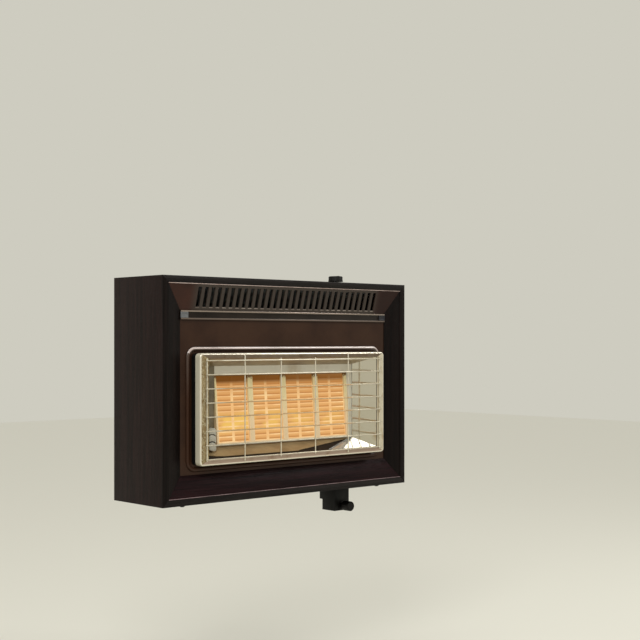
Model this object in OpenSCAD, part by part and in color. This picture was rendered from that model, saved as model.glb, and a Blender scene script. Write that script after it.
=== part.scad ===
// Wall mounted radiant gas heater: a dark wooden case round a four plaque ceramic burner.
// Millimetres. +X runs right along the wall, +Y goes into the wall and +Z is up.
// The origin is the centre of the case's back, in the plane of the wall.

/* [Wooden case] */
// Width of the case
case_w = 670; // [660:1:900]
// Height of the case
case_h = 450; // [430:1:640]
// Depth of the case, from the wall to its front edge
case_d = 170; // [150:1:260]
// Thickness of the boards
board_t = 15; // [12:0.5:20]
// Width of the sloping moulding on the left and right
bevel_side_w = 37; // [25:0.5:45]
// Height of the sloping moulding along the bottom
bevel_bottom_h = 42; // [25:0.5:45]
// How far the front panel lies behind the front edge of the case
bevel_drop = 16.4; // [12:0.2:24]
// Step from the front edge of the boards back to the moulding
bevel_step = 1.2; // [0.6:0.1:3]

/* [Outlet grille and trim bar] */
// Height of the sloping grille
grille_h = 52; // [45:0.5:60]
// Number of upright slots in the grille
slot_count = 30; // [12:1:34]
// Distance from one slot to the next
slot_pitch = 16.7; // [12:0.1:17]
// Width of a slot
slot_w = 9; // [5:0.5:11]
// Length of a slot, up the slope
slot_l = 41; // [25:0.5:44]
// Height of the trim bar
trim_h = 18; // [12:0.5:22]
// How far the trim bar stands proud of the panel
trim_proud = 4.4; // [3:0.1:8]

/* [Sheet metal] */
// Thickness of the sheet metal
sheet_t = 1.2; // [0.8:0.1:2]
// Depth of the folded edges of the front panel
return_d = 14; // [8:0.5:24]
// Clearance between sheet metal pieces that pass each other
sheet_gap = 0.6; // [0.2:0.1:0.9]

/* [Radiant opening] */
// Outer width of the rim round the opening
rim_w = 510; // [500:1:520]
// Outer height of the rim
rim_h = 222; // [216:1:240]
// Height of the rim above the lower edge of the panel
rim_lift = 19; // [15:0.5:40]
// How far the rim stands out from the panel
rim_proud = 29.6; // [20:0.2:40]
// Width of the flat front face of the rim
rim_face_w = 21; // [14:0.5:24]
// Corner radius of the rim
rim_r = 8; // [4:0.5:14]
// Depth of the rim's folded edge, in front of the black neck
rim_return = 16; // [8:0.5:18]
// Width of the raised bead pressed into the panel round the rim
bead_w = 7; // [4:0.5:9]
// Height of that bead
bead_proud = 3; // [1.5:0.5:5]

/* [Burner] */
// Number of ceramic plaques
plaque_count = 4; // [4:1:4]
// Width of a plaque
plaque_w = 90; // [86:0.5:91]
// Height of a plaque
plaque_h = 132; // [120:1:134]
// Thickness of a plaque
plaque_t = 13; // [10:0.5:15]
// Space between neighbouring plaques
plaque_gap = 1; // [0.4:0.1:1.5]
// Rows of cells on a plaque
cell_rows = 13; // [6:1:14]
// Columns of cells on a plaque
cell_cols = 2; // [2:1:4]
// Depth of a cell
cell_depth = 2.2; // [1:0.1:4]
// Width of the ribs between cells
cell_rib = 2.6; // [1.5:0.1:3.5]
// Wall of the cover frame outside the plaques
frame_wall = 2; // [1.2:0.1:2.4]
// Width of the bars of the cover frame between plaques
frame_bar_w = 13; // [8:0.5:16]
// Tilt of the burner, which brings its lower edge forward
burner_tilt = 4.5; // [0:0.5:6]
// Height of the burner's centre above the lower edge of the panel
burner_lift = 126.5; // [120:0.5:130]
// Distance of the burner's face behind the front edge of the case
burner_back = 29.5; // [28:0.5:32]

/* [Wire guard] */
// Diameter of the guard wires
wire_d = 2.6; // [2:0.1:3.4]
// Number of upright wires
upright_count = 6; // [5:1:8]
// Number of cross wires
cross_count = 8; // [5:1:10]

/* [Gas control] */
// Distance of the control spindle beside the plaques
control_side = 17.5; // [16:0.5:24]
// Distance of the spindle behind the front edge of the case
control_back = 85; // [78:0.5:95]
// Diameter of the spindle
spindle_d = 6; // [5:0.5:8]
// Radial clearance of a turning or sliding fit
run_fit = 0.05; // [0.02:0.01:0.1]
// Diameter of the control knob
knob_d = 33; // [26:0.5:40]
// Height of the knob
knob_h = 13; // [10:0.5:18]
// How far the knob is pushed down to light the pilot
push_travel = 4; // [2:0.5:4.5]
// Width of the valve box under the case
box_w = 44; // [40:0.5:60]
// Depth of the valve box, front to back
box_d = 41; // [38:0.5:50]
// How far the valve box hangs below the case
box_h = 57.6; // [56:0.2:75]
// Outer radius of the gas supply tube that the inlet takes
inlet_tube_r = 4; // [3:0.5:5]
// Depth of the inlet socket
inlet_socket_l = 14; // [10:0.5:18]

/* [Igniter] */
// Diameter of the igniter button
button_d = 21.6; // [16:0.2:22]
// Length of the igniter button's head
button_l = 21; // [14:0.5:26]
// Travel of the igniter button
button_travel = 8; // [4:0.5:8]

/* [Fixings] */
// Distance between the wall fixing holes, along the wall
fixing_w = 560; // [400:5:600]
// Distance between the wall fixing holes, up the wall
fixing_h = 300; // [200:5:340]
// Diameter of the wall fixing holes
fixing_d = 7; // [5:0.5:9]
// Distance between the two screws under the case
case_screw_span = 540; // [500:1:560]
// Distance of those screws behind the front edge
case_screw_back = 26; // [24:0.5:30]

/* [Hidden] */
// Roundness of drawn circles
$fn = 48;

// Faces and edges of the case
case_right = case_w / 2;
case_top_z = case_h / 2;
case_bottom_z = -case_h / 2;
front_y = -case_d;
inner_x = case_right - board_t;
inner_top = case_top_z - board_t;
inner_bottom = case_bottom_z + board_t;

// Front panel, trim bar and grille
panel_y = front_y + bevel_drop;
panel_back = panel_y + sheet_t;
panel_x = inner_x - bevel_side_w;
panel_bottom = inner_bottom + bevel_bottom_h;
trim_top = inner_top - grille_h;
panel_top = trim_top - trim_h;
moulding_lip = 1;
panel_lap = 12;
trim_channel = 2.2;
trim_lip = 3;
slot_rise = atan((bevel_drop - bevel_step - moulding_lip) / grille_h);

// Rim, reflector and the burner's place
rim_bottom = panel_bottom + rim_lift;
rim_top = rim_bottom + rim_h;
rim_x = rim_w / 2;
rim_face_y = panel_y - rim_proud;
neck_flange = 9;
seat_gap = 0.02;
mouth_x = rim_x - rim_face_w;
mouth_bottom = rim_bottom + rim_face_w * 0.62;
mouth_top = rim_top - rim_face_w * 0.5;
splay_side = 34;
splay_bottom = 19.8;
splay_top = 16.2;
throat_y = front_y + 34;
throat_x = mouth_x - splay_side;
throat_bottom = mouth_bottom + splay_bottom;
throat_top = mouth_top - splay_top;

// Burner, in its own tilted frame: Y runs back from its face and Z up along it
burner_y = front_y + burner_back;
burner_z = panel_bottom + burner_lift;
plaque_pitch = plaque_w + plaque_gap;
plaques_w = plaque_count * plaque_pitch - plaque_gap;
frame_gap = 0.5;
burner_w = plaques_w + 2 * (frame_gap + frame_wall);
burner_h = plaque_h + 2 * (frame_gap + 4);
gasket_t = 2;
gasket_w = 8;
plaque_y = sheet_t;
gasket_y = plaque_y + plaque_t;
plenum_y = gasket_y + gasket_t;
plenum_d = 34;
plenum_t = 1.5;
mixer_y = plenum_y + plenum_d / 2;
mixer_x = plaque_pitch;
mixer_r = 12;
mixer_t = 1.2;
mixer_l = 66;
mixer_bottom = -burner_h / 2 - mixer_l;
manifold_r = 6;
injector_r = 3.5;
injector_l = 12;
manifold_z = mixer_bottom - 4 - manifold_r;

// Control spindle, tap and valve box
control_x = plaques_w / 2 + control_side;
control_y = front_y + control_back;
spindle_r = spindle_d / 2;
box_bottom = case_bottom_z - box_h;
box_t = 1.6;
box_front = control_y - box_d / 2;
box_back = control_y + box_d / 2;
tap_r = 13;
tap_top = inner_bottom + 20;
tap_bottom = case_bottom_z - 33;
outlet_z = inner_bottom + 12;
cup_r = 10;
cup_bore_r = 7.5;
spring_wire = 1;
spring_turns = 5;
spring_l = 12;
collar_t = 4;
shoulder_t = 2;
cup_l = spring_l + collar_t + shoulder_t + run_fit;
collar_z = tap_top + spring_l;
cap_z = tap_top + cup_l;
cap_t = 3;
key_w = 3;
key_gap = 0.1;
spindle_seat = 16;
spindle_foot = tap_top - spindle_seat;
knob_gap = 1.6;
bush_flange_t = 1.4;
bush_r = 8;
bush_flange_r = 12;
knob_bottom = case_top_z + bush_flange_t + knob_gap + push_travel - 1;
knob_socket = 9;

// Igniter under the case
igniter_z = box_bottom + button_d / 2 + 0.8;
button_gap = 1;
button_back = box_front - button_gap - button_travel;
button_front = button_back - button_l;
barrel_r = 9;
barrel_l = 24;
stem_r = 5;
stem_l = button_travel + 12;
terminal_l = 6;

// Pilot, at the lower left corner of the burner
pilot_x = -burner_w / 2 - 6.5;
pilot_z = burner_z - burner_h / 2 + 14;
pilot_y = burner_y - 6;
lead_level = inner_bottom + 8;
electrode_lane = -49;
thermocouple_lane = -40;
pilot_lane = -31;

// ---------------------------------------------------------------- shared shapes

// Corner points of a rectangle with rounded corners
function rounded_points(x0, z0, x1, z1, r, steps = 6) = [
    for (corner = [[x1 - r, z1 - r, 0], [x0 + r, z1 - r, 90], [x0 + r, z0 + r, 180], [x1 - r, z0 + r, 270]])
        for (i = [0 : steps])
            let (a = corner[2] + 90 * i / steps)
                [corner[0] + r * cos(a), corner[1] + r * sin(a)]
];

// An upright plate drawn as an outline in X and Z, from y0 back to y1
module plate_xz(y0, y1) {
    translate([0, y1, 0]) rotate([90, 0, 0]) linear_extrude(y1 - y0) children();
}

// A bar whose cross section is drawn in Y and Z, from x0 to x1
module bar_x(x0, x1) {
    translate([x0, 0, 0]) rotate([90, 0, 90]) linear_extrude(x1 - x0) children();
}

// A column whose cross section is drawn in X and Y, from z0 up to z1
module column_z(z0, z1) {
    translate([0, 0, z0]) linear_extrude(z1 - z0) children();
}

// A block between two corners
module block(low, high) {
    translate(low) cube(high - low);
}

// A round rod along +Y from y0 to y1
module rod_y(r, y0, y1) {
    translate([0, y0, 0]) rotate([-90, 0, 0]) cylinder(r = r, h = y1 - y0);
}

// A round rod along +X from x0 to x1
module rod_x(r, x0, x1) {
    translate([x0, 0, 0]) rotate([0, 90, 0]) cylinder(r = r, h = x1 - x0);
}

// Places its children in the burner's tilted frame
module at_burner() {
    translate([0, burner_y, burner_z]) rotate([-burner_tilt, 0, 0]) children();
}

// The point in the case where a point of the burner's tilted frame lies
function from_burner(p) = [
    p[0],
    burner_y + p[1] * cos(burner_tilt) + p[2] * sin(burner_tilt),
    burner_z - p[1] * sin(burner_tilt) + p[2] * cos(burner_tilt)
];

function unit(v) = v / norm(v);

// How far before a corner its rounding starts: r, or less where the corner's sides are short
function corner_start(a, b, r) = min(r, 0.45 * norm(b - a));

// A route with each inner corner rounded to an arc-like curve
function rounded_route(route, r, steps = 5) = concat(
    [route[0]],
    [for (i = [1 : len(route) - 2])
        let (
            a = route[i] + corner_start(route[i - 1], route[i], r) * unit(route[i - 1] - route[i]),
            b = route[i] + corner_start(route[i + 1], route[i], r) * unit(route[i + 1] - route[i])
        )
            for (k = [0 : steps])
                let (t = k / steps)
                    (1 - t) * (1 - t) * a + 2 * t * (1 - t) * route[i] + t * t * b],
    [route[len(route) - 1]]
);

function tangents(path) = [
    for (i = [0 : len(path) - 1])
        unit(path[min(i + 1, len(path) - 1)] - path[max(i - 1, 0)])
];

// Carries a side direction along the route without twist
function carried(ts, u, i = 0) = i >= len(ts) ? [] : let (
    side = unit(u - ts[i] * (u * ts[i]))
) concat([side], carried(ts, side, i + 1));

// A solid tube swept along a route
module swept_tube(path, r, sides = 8) {
    ts = tangents(path);
    start = abs(ts[0][2]) < 0.8 ? [0, 0, 1] : [1, 0, 0];
    us = carried(ts, start);
    points = [
        for (i = [0 : len(path) - 1])
            let (v = cross(ts[i], us[i]))
                for (k = [0 : sides - 1])
                    path[i] + r * (cos(360 * k / sides) * us[i] + sin(360 * k / sides) * v)
    ];
    last = (len(path) - 1) * sides;
    faces = concat(
        [for (i = [0 : len(path) - 2], k = [0 : sides - 1])
            [i * sides + k, (i + 1) * sides + k, (i + 1) * sides + (k + 1) % sides]],
        [for (i = [0 : len(path) - 2], k = [0 : sides - 1])
            [i * sides + k, (i + 1) * sides + (k + 1) % sides, i * sides + (k + 1) % sides]],
        [for (k = [1 : sides - 2]) [0, k, k + 1]],
        [for (k = [1 : sides - 2]) [last, last + k + 1, last + k]]
    );
    polyhedron(points = points, faces = faces, convexity = 6);
}

// ---------------------------------------------------------------- wooden case

// A side board, mitred at both ends
module side_board(hand) {
    color([0.13, 0.09, 0.08])
        plate_xz(front_y, 0)
            polygon([
                [hand * case_right, case_bottom_z], [hand * case_right, case_top_z],
                [hand * inner_x, inner_top], [hand * inner_x, inner_bottom]
            ]);
}

// A top or bottom board, mitred at both ends
module level_board(outer_z, inner_z) {
    plate_xz(front_y, 0)
        polygon([
            [-case_right, outer_z], [case_right, outer_z],
            [inner_x, inner_z], [-inner_x, inner_z]
        ]);
}

module case_left_side() side_board(-1);

module case_right_side() side_board(1);

module case_top() {
    color([0.15, 0.12, 0.11])
        difference() {
            level_board(case_top_z, inner_top);
            translate([control_x, control_y, inner_top - 1]) cylinder(r = bush_r, h = board_t + 2);
        }
}

// Air slots in the bottom board, in two rows in front of each other
air_slot_l = 62;
air_slot_w = 8;
air_slot_pitch = 78;
air_slot_count = 5;

module case_bottom() {
    color([0.13, 0.09, 0.08])
        difference() {
            level_board(case_bottom_z, inner_bottom);
            block([control_x - box_w / 2 + box_t, box_front + box_t, case_bottom_z - 1],
                  [control_x + box_w / 2 - box_t, box_back - box_t, inner_bottom + 1]);
            for (side = [-1, 1])
                translate([side * case_screw_span / 2, front_y + case_screw_back, case_bottom_z - 1])
                    cylinder(d = 4.2, h = board_t + 2);
            for (i = [0 : air_slot_count - 1], row = [0, 1])
                translate([(i - (air_slot_count - 1) / 2) * air_slot_pitch - 60,
                           -45 - row * 22, case_bottom_z - 1])
                    translate([-air_slot_l / 2, 0, 0]) cube([air_slot_l, air_slot_w, board_t + 2]);
        }
}

module back_plate() {
    color([0.62, 0.63, 0.64])
        difference() {
            block([-inner_x, -sheet_t, inner_bottom], [inner_x, 0, inner_top]);
            for (x = [-1, 1], z = [-1, 1])
                translate([x * fixing_w / 2, 0, z * fixing_h / 2]) rod_y(fixing_d / 2, -sheet_t - 1, 1);
        }
}

// Four steel angles that hold the boards to the back plate
bracket_leg = 24;
bracket_w = 30;
bracket_in = 60;

module corner_brackets() {
    color([0.62, 0.63, 0.64])
        for (x = [-1, 1], z = [-1, 1])
            scale([x, 1, z])
                bar_x(inner_x - bracket_in - bracket_w, inner_x - bracket_in)
                    polygon([
                        [-sheet_t, inner_top], [-sheet_t - bracket_leg, inner_top],
                        [-sheet_t - bracket_leg, inner_top - sheet_t], [-2 * sheet_t, inner_top - sheet_t],
                        [-2 * sheet_t, inner_top - bracket_leg], [-sheet_t, inner_top - bracket_leg]
                    ]);
}

// Outline in X and Z that mitres the mouldings and the grille into a picture frame
module left_mitre(hand) {
    polygon([
        [hand * inner_x, inner_bottom], [hand * inner_x, inner_top],
        [hand * panel_x, trim_top], [hand * panel_x, panel_bottom]
    ]);
}

module side_moulding(hand) {
    color([0.09, 0.06, 0.06])
        intersection() {
            column_z(inner_bottom, inner_top)
                polygon([
                    [hand * inner_x, front_y + bevel_step], [hand * panel_x, panel_y - moulding_lip],
                    [hand * panel_x, panel_y], [hand * inner_x, panel_y]
                ]);
            plate_xz(front_y - 1, 1) left_mitre(hand);
        }
}

module bevel_left() side_moulding(-1);

module bevel_right() side_moulding(1);

module bevel_bottom() {
    color([0.15, 0.10, 0.12])
        intersection() {
            bar_x(-inner_x, inner_x)
                polygon([
                    [front_y + bevel_step, inner_bottom], [panel_y - moulding_lip, panel_bottom],
                    [panel_y, panel_bottom], [panel_y, inner_bottom]
                ]);
            plate_xz(front_y - 1, 1)
                polygon([
                    [-inner_x, inner_bottom], [inner_x, inner_bottom],
                    [panel_x, panel_bottom], [-panel_x, panel_bottom]
                ]);
        }
}

// ---------------------------------------------------------------- grille, trim and panel

module outlet_grille() {
    upper_y = front_y + bevel_step;
    lower_y = panel_y - moulding_lip;
    color([0.24, 0.15, 0.11])
        difference() {
            intersection() {
                bar_x(-inner_x, inner_x)
                    polygon([
                        [upper_y, inner_top], [lower_y, trim_top],
                        [lower_y + sheet_t, trim_top], [upper_y + sheet_t, inner_top]
                    ]);
                plate_xz(front_y - 1, 1)
                    polygon([
                        [-inner_x, inner_top], [inner_x, inner_top], [panel_x, trim_top], [-panel_x, trim_top]
                    ]);
            }
            for (i = [0 : slot_count - 1])
                translate([(i - (slot_count - 1) / 2) * slot_pitch, (upper_y + lower_y) / 2,
                           (inner_top + trim_top) / 2 + 0.5])
                    rotate([slot_rise, 0, 0])
                        cube([slot_w, 8, slot_l], center = true);
        }
}

// Sloping sheet above the firebox that turns the hot air out through the grille
deflector_back_z = 70;

module heat_deflector() {
    back_z = inner_top - deflector_back_z;
    front_edge = front_y + bevel_step + sheet_t + sheet_gap;
    color([0.62, 0.63, 0.64])
        difference() {
            bar_x(-inner_x + 40, inner_x - 40)
                polygon([
                    [-sheet_t, back_z - 16], [-sheet_t, back_z], [front_edge + 20, inner_top],
                    [front_edge, inner_top], [front_edge, inner_top - sheet_t],
                    [front_edge + 20, inner_top - sheet_t], [-2 * sheet_t, back_z - sheet_t],
                    [-2 * sheet_t, back_z - 16]
                ]);
            translate([control_x, control_y, back_z - 20]) cylinder(r = spindle_r + 2, h = deflector_back_z);
        }
}

// The trim bar: a channel section with a bright upper lip, laid on the panel
module trim_bar() {
    color([0.30, 0.22, 0.19])
        bar_x(-panel_x, panel_x)
            polygon([
                [panel_y, panel_top], [panel_y - trim_proud, panel_top],
                [panel_y - trim_proud, panel_top + trim_lip],
                [panel_y - trim_proud + trim_channel, panel_top + trim_lip],
                [panel_y - trim_proud + trim_channel, trim_top - trim_lip],
                [panel_y - trim_proud, trim_top - trim_lip],
                [panel_y - trim_proud, trim_top], [panel_y, trim_top]
            ]);
}

module trim_bar_ends() {
    end_w = trim_h;
    color([0.42, 0.42, 0.44])
        for (x = [-panel_x, panel_x - end_w])
            block([x, panel_y - trim_proud, panel_top + trim_lip],
                  [x + end_w, panel_y - trim_proud + trim_channel, trim_top - trim_lip]);
}

// Rounded outline round the rim, grown by a margin
module rim_outline(margin) {
    polygon(rounded_points(-rim_x - margin, rim_bottom - margin, rim_x + margin, rim_top + margin,
                           rim_r + margin));
}

module front_panel() {
    side = panel_x + panel_lap;
    low = panel_bottom - panel_lap;
    bead_in = 5;
    color([0.26, 0.17, 0.13])
        difference() {
            union() {
                block([-side, panel_y, low], [side, panel_back, trim_top]);
                for (x = [-side, side - sheet_t])
                    block([x, panel_y, low], [x + sheet_t, panel_y + return_d, trim_top]);
                block([-side, panel_y, low], [side, panel_y + return_d, low + sheet_t]);
                plate_xz(panel_y - bead_proud, panel_back) rim_outline(bead_in + bead_w);
            }
            plate_xz(panel_y - bead_proud - 1, panel_y) rim_outline(bead_in);
            plate_xz(panel_y - 1, panel_back + 1) rim_outline(sheet_gap - sheet_t);
        }
}

// Two round-headed screws that come up through the bottom board
case_screw_head = 5.5;

module case_screws() {
    color([0.06, 0.06, 0.06])
        for (side = [-1, 1])
            translate([side * case_screw_span / 2, front_y + case_screw_back, case_bottom_z])
                difference() {
                    translate([0, 0, -case_screw_head])
                        rotate_extrude()
                            polygon([[0, 0], [3.5, 0], [5.4, 1.4], [6, 3.4], [6, case_screw_head],
                                     [2, case_screw_head], [2, 34], [0, 36]]);
                    for (turn = [0, 90])
                        rotate(turn) translate([-3, -0.6, -case_screw_head - 1]) cube([6, 1.2, 2.6]);
                }
}

// ---------------------------------------------------------------- rim and reflector

// The bright rim: a flat face with a wide mouth and a folded edge
module firebox_rim() {
    color([0.78, 0.75, 0.68])
        difference() {
            plate_xz(rim_face_y, rim_face_y + rim_return) rim_outline(0);
            plate_xz(rim_face_y + sheet_t, rim_face_y + rim_return + 1) rim_outline(-sheet_t);
            block([-mouth_x, rim_face_y - 1, mouth_bottom], [mouth_x, rim_face_y + sheet_t + 1, mouth_top]);
            for (x = hook_positions(), z = [hook_low, hook_high])
                translate([x, 0, z]) rod_y(wire_d / 2 + 0.3, rim_face_y - 1, rim_face_y + sheet_t + 1);
        }
}

// The black neck that carries the rim, with a flange behind the panel
module firebox_neck() {
    near = rim_face_y + sheet_t + seat_gap;
    flange_y = panel_back + seat_gap;
    outer = -sheet_t - seat_gap;
    color([0.05, 0.05, 0.05])
        difference() {
            union() {
                plate_xz(near, flange_y + sheet_t) rim_outline(outer);
                plate_xz(flange_y, flange_y + sheet_t) rim_outline(neck_flange);
            }
            plate_xz(near - 1, flange_y + sheet_t + 1) rim_outline(outer - sheet_t);
        }
}

// The inside of the splayed reflector, seen from above and from the side
module splay_plan() {
    polygon([[-mouth_x, rim_face_y + sheet_t], [mouth_x, rim_face_y + sheet_t],
             [throat_x, throat_y], [-throat_x, throat_y]]);
}

module splay_side_view() {
    polygon([[rim_face_y + sheet_t, mouth_bottom], [rim_face_y + sheet_t, mouth_top],
             [throat_y, throat_top], [throat_y, throat_bottom]]);
}

module side_reflector(hand) {
    near = rim_face_y + sheet_t;
    color([0.80, 0.79, 0.74])
        intersection() {
            column_z(mouth_bottom, mouth_top)
                polygon([
                    [hand * mouth_x, near], [hand * throat_x, throat_y],
                    [hand * (throat_x + sheet_t), throat_y], [hand * (mouth_x + sheet_t), near]
                ]);
            bar_x(-rim_x, rim_x) splay_side_view();
        }
}

module reflector_left() side_reflector(-1);

module reflector_right() side_reflector(1);

module level_reflector(mouth_z, throat_z, away) {
    near = rim_face_y + sheet_t;
    color([0.80, 0.79, 0.74])
        intersection() {
            bar_x(-mouth_x, mouth_x)
                polygon([
                    [near, mouth_z], [throat_y, throat_z],
                    [throat_y, throat_z + away * sheet_t], [near, mouth_z + away * sheet_t]
                ]);
            column_z(rim_bottom, rim_top) splay_plan();
        }
}

module reflector_top() level_reflector(mouth_top, throat_top, 1);

module reflector_bottom() level_reflector(mouth_bottom, throat_bottom, -1);

// Back of the reflector, with a window for the burner and a notch for the pilot
module reflector_back() {
    notch_w = 17;
    notch_h = 34;
    window_gap = 1;
    foot = from_burner([0, 0, -burner_h / 2]);
    head = from_burner([0, 0, burner_h / 2]);
    color([0.80, 0.79, 0.74])
        difference() {
            block([-throat_x - 1, throat_y, throat_bottom - 1],
                  [throat_x + 1, throat_y + sheet_t, throat_top + 1]);
            block([-burner_w / 2 - sheet_gap, throat_y - 1, foot[2] - window_gap],
                  [burner_w / 2 + sheet_gap, throat_y + sheet_t + 1, head[2] + window_gap]);
            block([-burner_w / 2 - notch_w + 4, throat_y - 1, throat_bottom - 2],
                  [-burner_w / 2 + 1, throat_y + sheet_t + 1, throat_bottom + notch_h]);
        }
}

// ---------------------------------------------------------------- wire guard

// Guard wires lie on the rim: uprights against its face and cross wires over them
guard_edge_x = mouth_x + 5.3;
guard_top = mouth_top - 3.9;
guard_bottom = mouth_bottom - 0.8;
guard_over = 4.3;
upright_y = rim_face_y - wire_d / 2 - 0.05;
cross_y = upright_y - wire_d - 0.02;
upright_pitch = 2 * guard_edge_x / (upright_count - 1);
cross_pitch = (guard_top - guard_bottom) / (cross_count - 1);
hook_high = (mouth_top + rim_top) / 2;
hook_low = (mouth_bottom + rim_bottom) / 2;
hook_l = 9;

function hook_positions() = [-guard_edge_x + upright_pitch, guard_edge_x - upright_pitch];

module guard_uprights() {
    color([0.80, 0.78, 0.70])
        for (i = [0 : upright_count - 1]) {
            hooked = i == 1 || i == upright_count - 2;
            low = hooked ? hook_low - wire_d / 2 : guard_bottom - guard_over;
            high = hooked ? hook_high + wire_d / 2 : guard_top + guard_over;
            translate([-guard_edge_x + i * upright_pitch, upright_y, low])
                cylinder(d = wire_d, h = high - low);
        }
}

// Four hooks, welded to the backs of two uprights, that reach through the rim
module guard_hooks() {
    color([0.80, 0.78, 0.70])
        for (x = hook_positions(), z = [hook_low, hook_high])
            translate([x, 0, z]) rod_y(wire_d / 2, upright_y + wire_d / 2, upright_y + hook_l);
}

module guard_cross_wires() {
    color([0.80, 0.78, 0.70])
        for (i = [0 : cross_count - 1])
            translate([0, cross_y, guard_bottom + i * cross_pitch])
                rod_x(wire_d / 2, -guard_edge_x - guard_over, guard_edge_x + guard_over);
}

// ---------------------------------------------------------------- burner

function plaque_centre(i) = (i - (plaque_count - 1) / 2) * plaque_pitch;

// Bright steel frame that covers the edges of the plaques
module burner_cover_frame() {
    window_w = plaque_pitch - frame_bar_w;
    window_h = plaque_h - 3;
    color([0.82, 0.78, 0.66])
        at_burner()
            difference() {
                block([-burner_w / 2, 0, -burner_h / 2], [burner_w / 2, plenum_y + 4, burner_h / 2]);
                block([-plaques_w / 2 - frame_gap, sheet_t, -plaque_h / 2 - frame_gap],
                      [plaques_w / 2 + frame_gap, gasket_y + 0.01, plaque_h / 2 + frame_gap]);
                block([-burner_w / 2 + frame_wall, gasket_y, -burner_h / 2 + frame_wall],
                      [burner_w / 2 - frame_wall, plenum_y + 5, burner_h / 2 - frame_wall]);
                for (i = [0 : plaque_count - 1])
                    block([plaque_centre(i) - window_w / 2, -1, -window_h / 2],
                          [plaque_centre(i) + window_w / 2, sheet_t + 1, window_h / 2]);
            }
}

// A ceramic plaque with its rows and columns of shallow cells
module plaque(i) {
    margin = (plaque_pitch - frame_bar_w) / 2 - 0.5;
    field_h = plaque_h - 5;
    cell_w = (2 * margin - (cell_cols - 1) * cell_rib * 1.6) / cell_cols;
    cell_h = (field_h - (cell_rows - 1) * cell_rib) / cell_rows;
    color([0.93, 0.62, 0.34])
        at_burner()
            translate([plaque_centre(i), plaque_y, 0])
                difference() {
                    block([-plaque_w / 2, 0, -plaque_h / 2], [plaque_w / 2, plaque_t, plaque_h / 2]);
                    for (col = [0 : cell_cols - 1], row = [0 : cell_rows - 1])
                        translate([-margin + col * (cell_w + cell_rib * 1.6), -1,
                                   -field_h / 2 + row * (cell_h + cell_rib)])
                            cube([cell_w, 1 + cell_depth, cell_h]);
                }
}

module plaque_1() plaque(0);

module plaque_2() plaque(1);

module plaque_3() plaque(2);

module plaque_4() plaque(3);

// A ceramic fibre gasket behind each plaque
module plaque_gaskets() {
    color([0.90, 0.89, 0.84])
        at_burner()
            for (i = [0 : plaque_count - 1])
                translate([plaque_centre(i), 0, 0])
                    difference() {
                        block([-plaque_w / 2, gasket_y, -plaque_h / 2],
                              [plaque_w / 2, plenum_y, plaque_h / 2]);
                        block([-plaque_w / 2 + gasket_w, gasket_y - 1, -plaque_h / 2 + gasket_w],
                              [plaque_w / 2 - gasket_w, plenum_y + 1, plaque_h / 2 - gasket_w]);
                    }
}

// The box that feeds gas and air to the backs of the plaques, open towards them
module burner_plenum() {
    half_w = burner_w / 2 - frame_wall - 0.1;
    half_h = burner_h / 2 - frame_wall - 0.1;
    color([0.70, 0.70, 0.68])
        at_burner()
            difference() {
                block([-half_w, plenum_y, -half_h], [half_w, plenum_y + plenum_d, half_h]);
                for (i = [0 : plaque_count - 1])
                    translate([plaque_centre(i), 0, 0])
                        block([-plaque_w / 2 + gasket_w, plenum_y - 1, -plaque_h / 2 + gasket_w],
                              [plaque_w / 2 - gasket_w, plenum_y + plenum_t + 1, plaque_h / 2 - gasket_w]);
                for (side = [0, 1])
                    mirror([side, 0, 0])
                        block([plenum_t / 2, plenum_y + plenum_t, -half_h + plenum_t],
                              [half_w - plenum_t, plenum_y + plenum_d - plenum_t, half_h - plenum_t]);
                for (side = [-1, 1])
                    translate([side * mixer_x, mixer_y, -half_h - 1]) cylinder(r = mixer_r - mixer_t, h = 4);
            }
}

// Two folded arms from the back plate that carry the plenum
arm_w = 26;
arm_x = 130;

module burner_brackets() {
    seat = from_burner([0, plenum_y + plenum_d, 0]);
    color([0.62, 0.63, 0.64])
        for (x = [-arm_x, arm_x])
            difference() {
                block([x - arm_w / 2, seat[1] - 10, seat[2] - 45], [x + arm_w / 2, -sheet_t, seat[2] + 45]);
                block([x - arm_w / 2 + sheet_t, seat[1] - 20, seat[2] - 45 + sheet_t],
                      [x + arm_w / 2 - sheet_t, -2 * sheet_t, seat[2] + 45 - sheet_t]);
                at_burner() block([-rim_x, plenum_y - 60, -case_h], [rim_x, plenum_y + plenum_d, case_h]);
            }
}

// A mixing tube with a flared mouth below each half of the plenum
module mixing_tubes() {
    top = -burner_h / 2 + frame_wall + 0.1;
    color([0.68, 0.69, 0.70])
        at_burner()
            for (side = [-1, 1])
                translate([side * mixer_x, mixer_y, 0])
                    rotate_extrude()
                        polygon([
                            [mixer_r - mixer_t, top], [mixer_r, top], [mixer_r, mixer_bottom + 8],
                            [mixer_r + 4, mixer_bottom], [mixer_r + 4 - mixer_t, mixer_bottom],
                            [mixer_r - mixer_t, mixer_bottom + 8]
                        ]);
}

// Brass injectors on the manifold, one below each mixing tube
module injectors() {
    base = manifold_z + manifold_r;
    color([0.78, 0.62, 0.30])
        at_burner()
            for (side = [-1, 1])
                translate([side * mixer_x, mixer_y, 0])
                    difference() {
                        union() {
                            translate([0, 0, base - 1.5]) cylinder(r = injector_r + 2.5, h = 5, $fn = 6);
                            translate([0, 0, base]) cylinder(r = injector_r, h = injector_l);
                        }
                        translate([0, 0, base - 2]) cylinder(r = 1.2, h = injector_l);
                        translate([0, 0, base]) cylinder(r = 0.6, h = injector_l + 1, $fn = 16);
                    }
}

// The pipe across the case that feeds both injectors
manifold_end = 108;

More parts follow.
